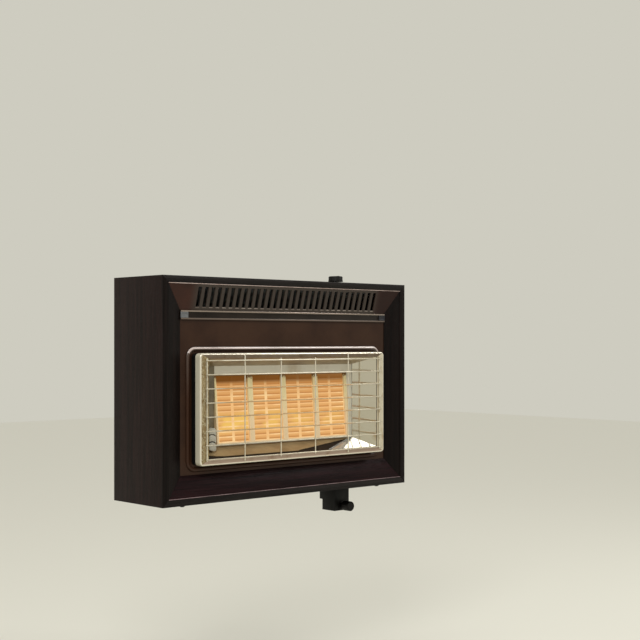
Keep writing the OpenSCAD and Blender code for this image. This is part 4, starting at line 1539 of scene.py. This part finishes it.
@dataclass
class RimAndReflector(Assembly):
    """The bright rim in four mitred strips, its black neck and the splayed reflector sheets."""

    half_width: float = 255.0
    low: float = -149.0
    high: float = 73.0
    radius: float = 8.0
    corner_steps: int = 8
    front: float = -183.2
    back: float = -167.2
    sheet: float = 1.2
    roll: float = 3.0
    roll_steps: int = 5
    hair: float = 0.001
    lip: float = 1.1
    wall_from: float = 0.45
    wall_facing: float = 0.75
    rolled_from: float = 0.05
    rolled_facing: float = 0.1
    neck_ease: float = 0.5
    back_ease: float = 0.2
    reflector_wall: float = 1.08
    wave_pitch: float = 0.018
    mouth_half_width: float = 234.0
    mouth_low: float = -135.98
    mouth_high: float = 62.5
    throat_y: float = -136.0
    throat_half_width: float = 200.0
    throat_low: float = -116.18
    throat_high: float = 46.3
    fire: tuple[float, float, float] = (0.0, -160.0, -35.0)
    seam: float = 0.12
    fold_gap: float = 0.02
    stain: tuple[tuple[float, float], ...] = (
        (-200.0, -136.0),
        (-222.0, -168.0),
        (-208.0, -172.0),
        (-188.0, -174.6),
        (7.0, -174.6),
        (19.0, -171.6),
        (186.0, -139.6),
        (192.0, -136.0),
    )
    stain_columns: range = range(-210, 180, 12)
    stain_rows: range = range(-176, -138, 6)
    stain_slant: float = 0.35
    stain_waves: float = 0.9
    stain_pitch: tuple[float, float] = (0.03, 0.05)
    recess_under: float = 1.6
    corner_start: float = 92.0
    corner_gap: float = 1.0
    flange: float = 1.6
    flange_lean: float = 0.4
    shaded_from: float = 184.3

    def build(self) -> None:
        """Builds the rim, the neck and the reflector."""
        self.rim()
        # The neck is painted black where the shadow gap behind the rim shows: painted shade.
        form = self.form("firebox_neck").soften(self.neck_ease)
        how = Handover((BLACK_PAINT,), "black_paint", ("firebox_neck",))
        form.hand_over("firebox_neck_shadow_black", how)
        self.sides()
        self.levels()
        self.back_sheet()

    def _ring(self) -> Form:
        """The whole rim: folded edge, rolled corner, flat face and a lip turned in at the mouth.

        Returns:
            The rim, looking into the room.
        """
        form = Form()
        corners = rectangle(self.half_width, self.low, self.high, self.back)
        face = form.rounded_face(corners, self.radius, self.corner_steps)
        edge = (self.hair, self.back - self.front - self.roll)
        form.step([face], [edge, *arc(self.roll, self.roll, pi / 2, self.roll_steps)])
        inner = list(face.edges)
        form.drop([face])
        mouth = rectangle(self.mouth_half_width, self.mouth_low, self.mouth_high, self.front)
        form.fold(form.bridge(inner, mouth), (0, self.lip, 0))
        form.look(FRONT)
        return form

    def rim(self) -> None:
        """Cuts the ring at its mitres into four strips."""
        for name, finish, keep in (
            ("left", RIM_LEFT, Vector((-1, 0, 0))),
            ("right", RIM_STEEL, Vector((1, 0, 0))),
            ("top", RIM_TOP, Vector((0, 0, 1))),
            ("bottom", RIM_BOTTOM, Vector((0, 0, -1))),
        ):
            # The rolled corner gets the paler finish as a painted highlight.
            form = self._ring().paint(2, self._is_rolled).paint(1, self._is_wall)
            for point, normal in self._mitres(keep):
                form.cut(point + normal * -self.seam, normal, drop=True)
            finishes = (finish, RIM_WALL, RIM_EDGE_HIGHLIGHT)
            how = Handover(finishes, "rim_steel", ("firebox_rim",), crease=40, wall=self.sheet)
            form.hand_over(f"rim_{name}", how)

    def _is_wall(self, face: bmesh.types.BMFace) -> bool:
        """Whether a face of the rim is part of its folded edge."""
        behind = face.calc_center_median().y > self.front + self.roll * self.wall_from
        return behind and abs(face.normal.y) < self.wall_facing

    def _is_rolled(self, face: bmesh.types.BMFace) -> bool:
        """Whether a face of the rim is part of its rolled corner."""
        behind = face.calc_center_median().y > self.front + self.rolled_from
        return behind and abs(face.normal.y) > self.rolled_facing

    def _mitres(self, keep: Vector) -> list[tuple[Vector, Vector]]:
        """The two mitre planes of a strip.

        Args:
            keep: Direction of the strip from the middle.

        Returns:
            A point on each plane and its normal, which points away from the strip.
        """
        planes = []
        for side in (-1, 1):
            x, z = keep.x or side, keep.z or side
            mouth_z, outer_z = (self.mouth_high, self.high) if z > 0 else (self.mouth_low, self.low)
            mouth = Vector((x * self.mouth_half_width, 0, mouth_z))
            run = (Vector((x * self.half_width, 0, outer_z)) - mouth).normalized()
            normal = Vector((run.z, 0, -run.x))
            if normal.dot(keep) > 0:
                normal.negate()
            planes.append((mouth, normal))
        return planes

    def _sheet(self, corners: Sequence[Point], cuts: int, waves: float, seed: float) -> Form:
        """A slightly wavy sheet between four corners.

        Args:
            corners: The corners, anticlockwise as seen from the fire.
            cuts: How finely it is divided.
            waves: Height of the waves.
            seed: Where the waves are read.

        Returns:
            The sheet.
        """
        form = Form()
        form.face(corners)
        bmesh.ops.subdivide_edges(form.mesh, edges=form.mesh.edges, cuts=cuts, use_grid_fill=True)
        form.mesh.normal_update()
        for vert in form.mesh.verts:
            if not vert.is_boundary:
                spot = vert.co * self.wave_pitch + Vector((seed, seed, seed))
                vert.co += vert.normal * noise.noise(spot) * waves
        return form

    def _hand_over_sheet(self, form: Form, name: str, finish: Finish, node: str) -> None:
        """Turns a sheet towards the fire and into a piece with a wall behind it.

        Args:
            form: The sheet.
            name: The piece's name.
            finish: Its finish.
            node: The frame node that it replaces.
        """
        form.mesh.normal_update()
        face = form.mesh.faces[:][0]
        if face.normal.dot(Vector(self.fire) - face.calc_center_median()) < 0:
            bmesh.ops.reverse_faces(form.mesh, faces=form.mesh.faces)
        wall = self.reflector_wall
        how = Handover((finish,), "polished_reflector", (node,), crease=60, wall=wall)
        form.hand_over(name, how)

    def sides(self) -> None:
        """Builds the left and right sheets."""
        near = self.front + self.sheet
        for hand, name in ((-1, "left"), (1, "right")):
            ends = []
            for share in (self.fold_gap, 1 - self.fold_gap):
                x = hand * part_way(self.mouth_half_width, self.throat_half_width, share)
                y = part_way(near, self.throat_y, share)
                low = part_way(self.mouth_low, self.throat_low, share)
                high = part_way(self.mouth_high, self.throat_high, share)
                ends.append(((x, y, low), (x, y, high)))
            corners = (ends[0][0], ends[1][0], ends[1][1], ends[0][1])
            form = self._sheet(corners, cuts=12, waves=0.35, seed=hand * 3.0)
            made = f"reflector_{name}_bright"
            self._hand_over_sheet(form, made, SIDE_REFLECTOR, f"reflector_{name}")

    def levels(self) -> None:
        """Builds the top sheet and the three parts of the bottom one."""
        near = self.front + self.sheet
        corners = (
            (-self.mouth_half_width, near, self.mouth_high),
            (self.mouth_half_width, near, self.mouth_high),
            (self.throat_half_width, self.throat_y, self.throat_high),
            (-self.throat_half_width, self.throat_y, self.throat_high),
        )
        top = self._sheet(corners, cuts=16, waves=0.3, seed=7.0)
        self._hand_over_sheet(top, "reflector_top_bright", TOP_REFLECTOR, "reflector_top")
        for form, part, finish in (
            (self._stained_sheet(), "stained", STAINED_REFLECTOR),
            (self._recess(), "recess", DARK_SHADE_FILL),
            (self._corner_mirror(), "corner", CORNER_REFLECTOR),
        ):
            self._hand_over_sheet(form, f"reflector_bottom_{part}", finish, "reflector_bottom")

    def _on_bottom(self, x: float, y: float, under: float = 0.0) -> Vector:
        """A point of the bottom sheet.

        Args:
            x: Its place across.
            y: Its place in depth.
            under: How far under the sheet it lies.

        Returns:
            The point.
        """
        near = self.front + self.sheet
        share = (y - near) / (self.throat_y - near)
        return Vector((x, y, part_way(self.mouth_low, self.throat_low, share) - under))

    def _stained_sheet(self) -> Form:
        """The heat-stained left part of the bottom sheet, cut off obliquely at its right end.

        Returns:
            The sheet.
        """
        form = Form()
        form.face(self._on_bottom(x, y) for x, y in self.stain)
        for x in self.stain_columns:
            form.cut((x, self.throat_y, 0), (1, self.stain_slant, 0))
        for y in self.stain_rows:
            form.cut((0, y, 0), (0, 1, 0))
        form.mesh.normal_update()
        across, along = self.stain_pitch
        for vert in form.mesh.verts:
            if not vert.is_boundary:
                spot = Vector((vert.co.x * across, vert.co.y * along, 2.0))
                vert.co.z += noise.noise(spot) * self.stain_waves
        return form

    def _recess(self) -> Form:
        """A dark sheet under the stained sheet and the mirror at the right corner: painted shade in
        the recess between them.

        Returns:
            Its floor.
        """
        form = Form()
        near, far = self.front + self.sheet, self.throat_y
        mouth, throat = self.mouth_half_width, self.throat_half_width
        spots = ((-mouth, near), (mouth, near), (throat, far), (-throat, far))
        form.face(self._on_bottom(x, y, self.recess_under) for x, y in spots)
        return form

    def _corner_mirror(self) -> Form:
        """The bright corner of the bottom sheet, with a narrow flange along its oblique edge.

        Returns:
            The corner.
        """
        near = self.front + self.sheet + self.corner_gap
        form = Form()
        spots = (
            (self.throat_half_width, self.throat_y),
            (self.corner_start, near),
            (self.mouth_half_width - self.corner_gap, near),
        )
        corner = form.face(self._on_bottom(x, y) for x, y in spots)
        oblique = form.mesh.edges.get(corner.verts[:2])
        form.fold([oblique], (0.0, -self.flange_lean * self.flange, self.flange))
        return form

    def back_sheet(self) -> None:
        """Eases the back sheet's window and shades what lies left of the burner."""
        form = self.form("reflector_back").soften(self.back_ease, 1)
        for x in (-self.shaded_from, self.shaded_from):
            form.cut((x, 0, 0), (1, 0, 0))
        form.paint(1, lambda f: f.calc_center_median().x < -self.shaded_from)
        finishes = (BACK_REFLECTOR, SHADED_BACK)
        how = Handover(finishes, "polished_reflector", ("reflector_back",))
        form.hand_over("reflector_back_bright", how)


# ------------------------------------------------------------------ wire guard


@dataclass
class WireGuard(Assembly):
    """Six upright wires, eight cross wires and four hooks, with a weld at each crossing."""

    wire: float = 1.3
    sides: int = 14
    nose: float = 0.5
    edge: float = 239.3
    uprights: int = 6
    upright_y: float = -184.55
    cross_y: float = -187.17
    cross_low: float = -136.78
    cross_pitch: float = 27.91
    crosses: int = 8
    over: float = 4.3
    hook_low: float = -142.49
    hook_high: float = 67.75
    hook_end: float = -175.55
    hook_root: float = 0.4
    weld: tuple[float, float, float] = (1.75, 0.9, 1.75)

    def _wire(self, form: Form, start: Point, end: Point) -> None:
        """Adds one wire of the guard."""
        form.rod(start, end, self.wire, self.sides, self.nose)

    def build(self) -> None:
        """Builds the wires, the hooks and the welds."""
        xs = [-self.edge + i * 2 * self.edge / (self.uprights - 1) for i in range(self.uprights)]
        zs = [self.cross_low + i * self.cross_pitch for i in range(self.crosses)]
        upright, cross, hooks, welds = Form(), Form(), Form(), Form()
        for i, x in enumerate(xs):
            hooked = i in (1, self.uprights - 2)
            low = self.hook_low - self.wire if hooked else zs[0] - self.over
            high = self.hook_high + self.wire if hooked else zs[-1] + self.over
            self._wire(upright, (x, self.upright_y, low), (x, self.upright_y, high))
            for z in (self.hook_low, self.hook_high) if hooked else ():
                start = self.upright_y + self.wire * self.hook_root
                self._wire(hooks, (x, start, z), (x, self.hook_end, z))
        for z in zs:
            start, end = -self.edge - self.over, self.edge + self.over
            self._wire(cross, (start, self.cross_y, z), (end, self.cross_y, z))
            for x in xs:
                ball = bmesh.ops.create_icosphere(welds.mesh, subdivisions=2, radius=1.0)["verts"]
                bmesh.ops.scale(welds.mesh, verts=ball, vec=self.weld)
                middle = (x, (self.upright_y + self.cross_y) / 2, z)
                bmesh.ops.translate(welds.mesh, verts=ball, vec=middle)
        for form, name, finish, node in (
            (upright, "guard_upright_wires", UPRIGHT_WIRE, ("guard_uprights",)),
            (cross, "guard_level_wires", LEVEL_WIRE, ("guard_cross_wires",)),
            (hooks, "guard_wire_hooks", UPRIGHT_WIRE, ("guard_hooks",)),
            (welds, "guard_welds", UPRIGHT_WIRE, ()),
        ):
            form.hand_over(name, Handover((finish,), "guard_wire", node, crease=60))


# ------------------------------------------------------------------ burner and pilot


@dataclass
class Burner(Assembly):
    """The cover frame with its folded windows and the four plaques sunk behind it."""

    centre: tuple[float, float, float] = (0.0, -140.5, -41.5)
    tilt: float = -4.5
    plaques: int = 4
    sheet: float = 1.0
    half_width: float = 184.0
    half_height: float = 70.5
    fold: float = 20.2
    pitch: float = 91.0
    window_half_width: float = 39.0
    window_half_height: float = 67.9
    window_fold: float = 4.4
    outer_growth: float = 4.0
    face_depth: float = 6.0
    sunk: float = 3.3
    stretch: float = 1.035
    plaque_ease: float = 0.4
    frame_ease: float = 0.35

    def build(self) -> None:
        """Builds the frame and the plaques."""
        self.frame()
        for number in range(self.plaques):
            self.plaque(f"plaque_{number + 1}")

    def frame(self) -> None:
        """Cuts the windows in a plate, then folds their edges and the plate's own edge back."""
        form = Form()
        form.face(rectangle(self.half_width, -self.half_height, self.half_height, 0))
        windows = []
        for i in range(self.plaques):
            centre = (i - (self.plaques - 1) / 2) * self.pitch
            growth = 0.0 if i else self.outer_growth
            left = centre - self.window_half_width - growth
            windows.append((left, centre + self.window_half_width))
        for x in (x for window in windows for x in window):
            form.cut((x, 0, 0), (1, 0, 0))
        for side in (-1, 1):
            form.cut((0, 0, side * self.window_half_height), (0, 0, 1))
        holes = []
        for face in form.mesh.faces:
            spot = face.calc_center_median()
            level = abs(spot.z) < self.window_half_height
            if level and any(left < spot.x < right for left, right in windows):
                holes.append(face)
        bmesh.ops.delete(form.mesh, geom=holes, context="FACES")
        edges = [e for e in form.mesh.edges if e.is_boundary]
        outside = [e for e in edges if all(self._on_border(v.co) for v in e.verts)]
        form.fold([e for e in edges if e not in outside], (0, self.window_fold, 0))
        form.fold(outside, (0, self.fold, 0))
        form.look(FRONT)
        form.shift(self.centre)
        form.turn(self.centre, self.tilt)
        nodes, ease = ("burner_cover_frame",), self.frame_ease
        how = Handover((BURNER_FRAME,), "burner_steel", nodes, wall=self.sheet, rounding=ease)
        form.hand_over("burner_cover_frame_folded", how)

    def _on_border(self, spot: Vector) -> bool:
        """Whether a point lies on the plate's own edge."""
        aside = abs(abs(spot.x) - self.half_width) < NEAR
        return aside or abs(abs(spot.z) - self.half_height) < NEAR

    def plaque(self, name: str) -> None:
        """Sinks a plaque's face behind the frame and stretches its rows to fill the window.

        Args:
            name: The plaque's node.
        """
        form = self.form(name).turn(self.centre, -self.tilt)
        middle = Vector(self.centre)
        form.shift((0, self.sunk, 0), lambda spot: spot.y - middle.y < self.face_depth)
        form.shift(-middle)
        bmesh.ops.scale(form.mesh, verts=form.mesh.verts, vec=(1, 1, self.stretch))
        form.shift(middle)
        form.turn(self.centre, self.tilt).soften(self.plaque_ease)
        form.hand_over(f"{name}_celled", Handover((PLAQUE_GLOW,), "glowing_ceramic", (name,)))


@dataclass
class Pilot(Assembly):
    """The louvred hood beside the burner and what stands round it."""

    left: float = -217.5
    right: float = -200.0
    front: float = -163.0
    back: float = -152.0
    low: float = -119.0
    high: float = -77.5
    louvres: int = 3
    gap: float = 2.2
    bow: float = 3.0
    bulge: float = 1.2
    point: float = 4.8
    cuts: int = 7
    taper: float = 7.0
    ease: float = 0.6
    core_ease: float = 0.3
    core_in: tuple[float, float, float] = (1.4, 2.0, 3.0)
    core_out: tuple[float, float, float] = (1.4, 1.0, 4.0)

    def build(self) -> None:
        """Builds the hood and dresses its neighbours."""
        self.hood()
        self.core()
        self.dress(PILOT_STEEL, "pilot_bracket")
        self.dress(COPPER, "pilot_tube", "thermocouple")
        self.dress(INSULATOR, "spark_electrode")

    def hood(self) -> None:
        """Stacks bowed plates with slots between them, the lowest one ending in a point."""
        form = Form()
        height = (self.high - self.low - self.gap * (self.louvres - 1)) / self.louvres
        for i in range(self.louvres):
            low = self.low + i * (height + self.gap)
            others = len(form.mesh.verts)
            corners = (self.left, self.front, low), (self.right, self.back, low + height)
            made = set(form.block(*corners))
            level = [
                e
                for e in form.mesh.edges
                if e.verts[0] in made and abs(e.verts[0].co.x - e.verts[1].co.x) > 1
            ]
            bmesh.ops.subdivide_edges(form.mesh, edges=level, cuts=self.cuts, use_grid_fill=True)
            for vert in list(form.mesh.verts)[others:]:
                share = (vert.co.x - self.left) / (self.right - self.left)
                arch = 4 * share * (1 - share)
                vert.co.z += self.bow * (arch - share)
                vert.co.y -= self.bulge * arch * (vert.co.y < (self.front + self.back) / 2)
                if i == 0 and vert.co.z < low + height / 2 + self.bow:
                    vert.co.z -= self.point * arch
        self._narrow_back(form)
        form.soften(self.ease)
        form.hand_over("pilot_hood", Handover((PILOT_STEEL,), "burner_steel", ("pilot_burner",)))

    def core(self) -> None:
        """Fills the hood with a dark block whose painted shade shows through its slots."""
        form = Form()
        low = Vector((self.left, self.front, self.low)) + Vector(self.core_in)
        high = Vector((self.right, self.back, self.high)) - Vector(self.core_out)
        form.block(low, high)
        self._narrow_back(form)
        form.soften(self.core_ease, 1)
        form.hand_over("pilot_hood_core", Handover((DARK_SHADE_FILL,), "burner_steel", ("pilot_burner",)))

    def _narrow_back(self, form: Form) -> None:
        """Brings the left side in at the back, clear of the sloping reflector sheet.

        Args:
            form: The hood or its core.
        """
        for vert in form.mesh.verts:
            if vert.co.y > (self.front + self.back) / 2:
                vert.co.x += self.taper * (self.right - vert.co.x) / (self.right - self.left)


# ------------------------------------------------------------------ gas control


@dataclass
class GasControl(Assembly):
    """The knob and its spindle, the box under the case and the igniter."""

    def build(self) -> None:
        """Eases what shows and dresses what is inside."""
        heater = Body.HEATER
        for node, made, body, width, finish, slot in (
            ("control_knob", "fluted", Body.CONTROL, 0.3, BLACK_PLASTIC, "black_plastic"),
            ("igniter_button", "turned", Body.BUTTON, 0.5, BLACK_PLASTIC, "black_plastic"),
            ("valve_box", "folded", heater, 1.0, BLACK_PAINT, "black_paint"),
            ("igniter_body", "moulded", heater, 0.3, BLACK_PLASTIC, "black_plastic"),
            ("inlet_union", "turned", heater, 0.5, BRASS, "brass"),
        ):
            form = self.form(node).soften(width)
            form.hand_over(f"{node}_{made}", Handover((finish,), slot, (node,), body))
        self.dress(BLACK_PLASTIC, "spindle_bush")
        self.dress(BRASS, "gas_tap", "tap_cap", "gas_manifold", "injectors")
        self.dress(PLAIN_STEEL, "control_spindle", "push_collar", "return_spring")
        self.dress(SLEEVE, "ignition_lead")
        self.dress(COPPER, "supply_tube")


@dataclass
class HiddenWorks(Assembly):
    """The sheet metal and burner pieces behind the front."""

    def build(self) -> None:
        """Dresses each of them."""
        self.dress(GALVANISED, "back_plate", "corner_brackets", "heat_deflector", "burner_brackets")
        self.dress(FIBRE, "plaque_gaskets")
        self.dress(BURNER_STEEL, "burner_plenum", "mixing_tubes")


# ------------------------------------------------------------------ studio


@dataclass
class Studio:
    """The pale floor, the soft lamps, the sky and the camera."""

    backdrop: Colour = srgb(206, 204, 192)
    sky_colour: Colour = srgb(236, 234, 226)
    camera_place: tuple[float, float, float] = (-1.753, -2.178, 0.0959)
    camera_turn: float = -42.3
    lens: float = 71.3
    sensor: float = 36.0
    shift: float = 0.0339
    floor_level: float = -0.62
    floor_reach: float = 8.0
    sky: float = 0.6
    daylight: float = 1.3
    daylight_spread: float = 50.0
    aim: tuple[float, float, float] = (0.0, -0.08, 0.0)
    lamps: tuple[tuple[str, tuple[float, float, float], float, float], ...] = (
        ("left window", (-1.95, -1.68, 1.86), 1.3, 42.0),
        ("right window", (2.09, -1.70, 1.66), 0.9, 24.0),
    )

    def build(self) -> None:
        """Builds them all."""
        self.camera()
        self.floor()
        self.light()
        self.world()

    def camera(self) -> None:
        """Places the camera at the photograph's angle."""
        scene = bpy.context.scene
        data = bpy.data.cameras.new("camera")
        data.lens, data.sensor_width, data.shift_y = self.lens, self.sensor, self.shift
        eye = bpy.data.objects.new("camera", data)
        eye.location = self.camera_place
        eye.rotation_euler = (radians(90), 0, radians(self.camera_turn))
        scene.collection.objects.link(eye)
        scene.camera = eye

    def floor(self) -> None:
        """Lays the pale floor."""
        mesh = bmesh.new()
        bmesh.ops.create_grid(mesh, x_segments=1, y_segments=1, size=self.floor_reach)
        bmesh.ops.translate(mesh, verts=mesh.verts, vec=(0, 0, self.floor_level))
        data = bpy.data.meshes.new("floor")
        mesh.to_mesh(data)
        mesh.free()
        graph = Graph("pale floor")
        graph.surface(Base_Color=self.backdrop, Roughness=0.9)
        data.materials.append(graph.material)
        floor = bpy.data.objects.new("floor", data)
        bpy.context.scene.collection.objects.link(floor)

    def light(self) -> None:
        """Hangs the soft lamps and the daylight."""
        link = bpy.context.scene.collection.objects.link
        for name, place, size, power in self.lamps:
            data = bpy.data.lights.new(name, "AREA")
            data.energy, data.size = power, size
            lamp = bpy.data.objects.new(name, data)
            lamp.location = place
            run = Vector(self.aim) - Vector(place)
            lamp.rotation_euler = run.to_track_quat("-Z", "Y").to_euler()
            lamp.visible_camera = False
            link(lamp)
        data = bpy.data.lights.new("overhead daylight", "SUN")
        data.energy, data.angle = self.daylight, radians(self.daylight_spread)
        link(bpy.data.objects.new("overhead daylight", data))

    def world(self) -> None:
        """Lights the scene from a plain sky; the camera and gloss see the backdrop's colour."""
        world = bpy.data.worlds.new("studio")
        bpy.context.scene.world = world
        world.use_nodes = True
        tree = world.node_tree
        tree.nodes.clear()
        path = tree.nodes.new("ShaderNodeLightPath")
        soft, seen = (tree.nodes.new("ShaderNodeBackground") for _ in range(2))
        soft.inputs[0].default_value, soft.inputs[1].default_value = self.sky_colour, self.sky
        seen.inputs[0].default_value, seen.inputs[1].default_value = self.backdrop, 1.0
        first, second = (tree.nodes.new("ShaderNodeMath") for _ in range(2))
        first.operation = second.operation = "MAXIMUM"
        mix, end = tree.nodes.new("ShaderNodeMixShader"), tree.nodes.new("ShaderNodeOutputWorld")
        for source, target in (
            (path.outputs["Is Camera Ray"], first.inputs[0]),
            (path.outputs["Is Glossy Ray"], first.inputs[1]),
            (first.outputs[0], second.inputs[0]),
            (path.outputs["Is Transmission Ray"], second.inputs[1]),
            (second.outputs[0], mix.inputs[0]),
            (soft.outputs[0], mix.inputs[1]),
            (seen.outputs[0], mix.inputs[2]),
            (mix.outputs[0], end.inputs[0]),
        ):
            tree.links.new(source, target)


ASSEMBLIES = (
    WoodenCase,
    GrilleAndTrim,
    FrontPanel,
    RimAndReflector,
    WireGuard,
    Burner,
    Pilot,
    GasControl,
    HiddenWorks,
)


def main() -> None:
    """Loads the frame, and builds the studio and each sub-assembly."""
    logging.basicConfig(level=logging.INFO, format="%(name)s %(message)s")
    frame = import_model()
    bpy.context.scene.view_settings.view_transform = "Standard"
    Studio().build()
    for assembly in ASSEMBLIES:
        LOG.info("building %s", assembly.__name__)
        assembly(frame["nodes"]).build()


if __name__ == "__main__":
    main()
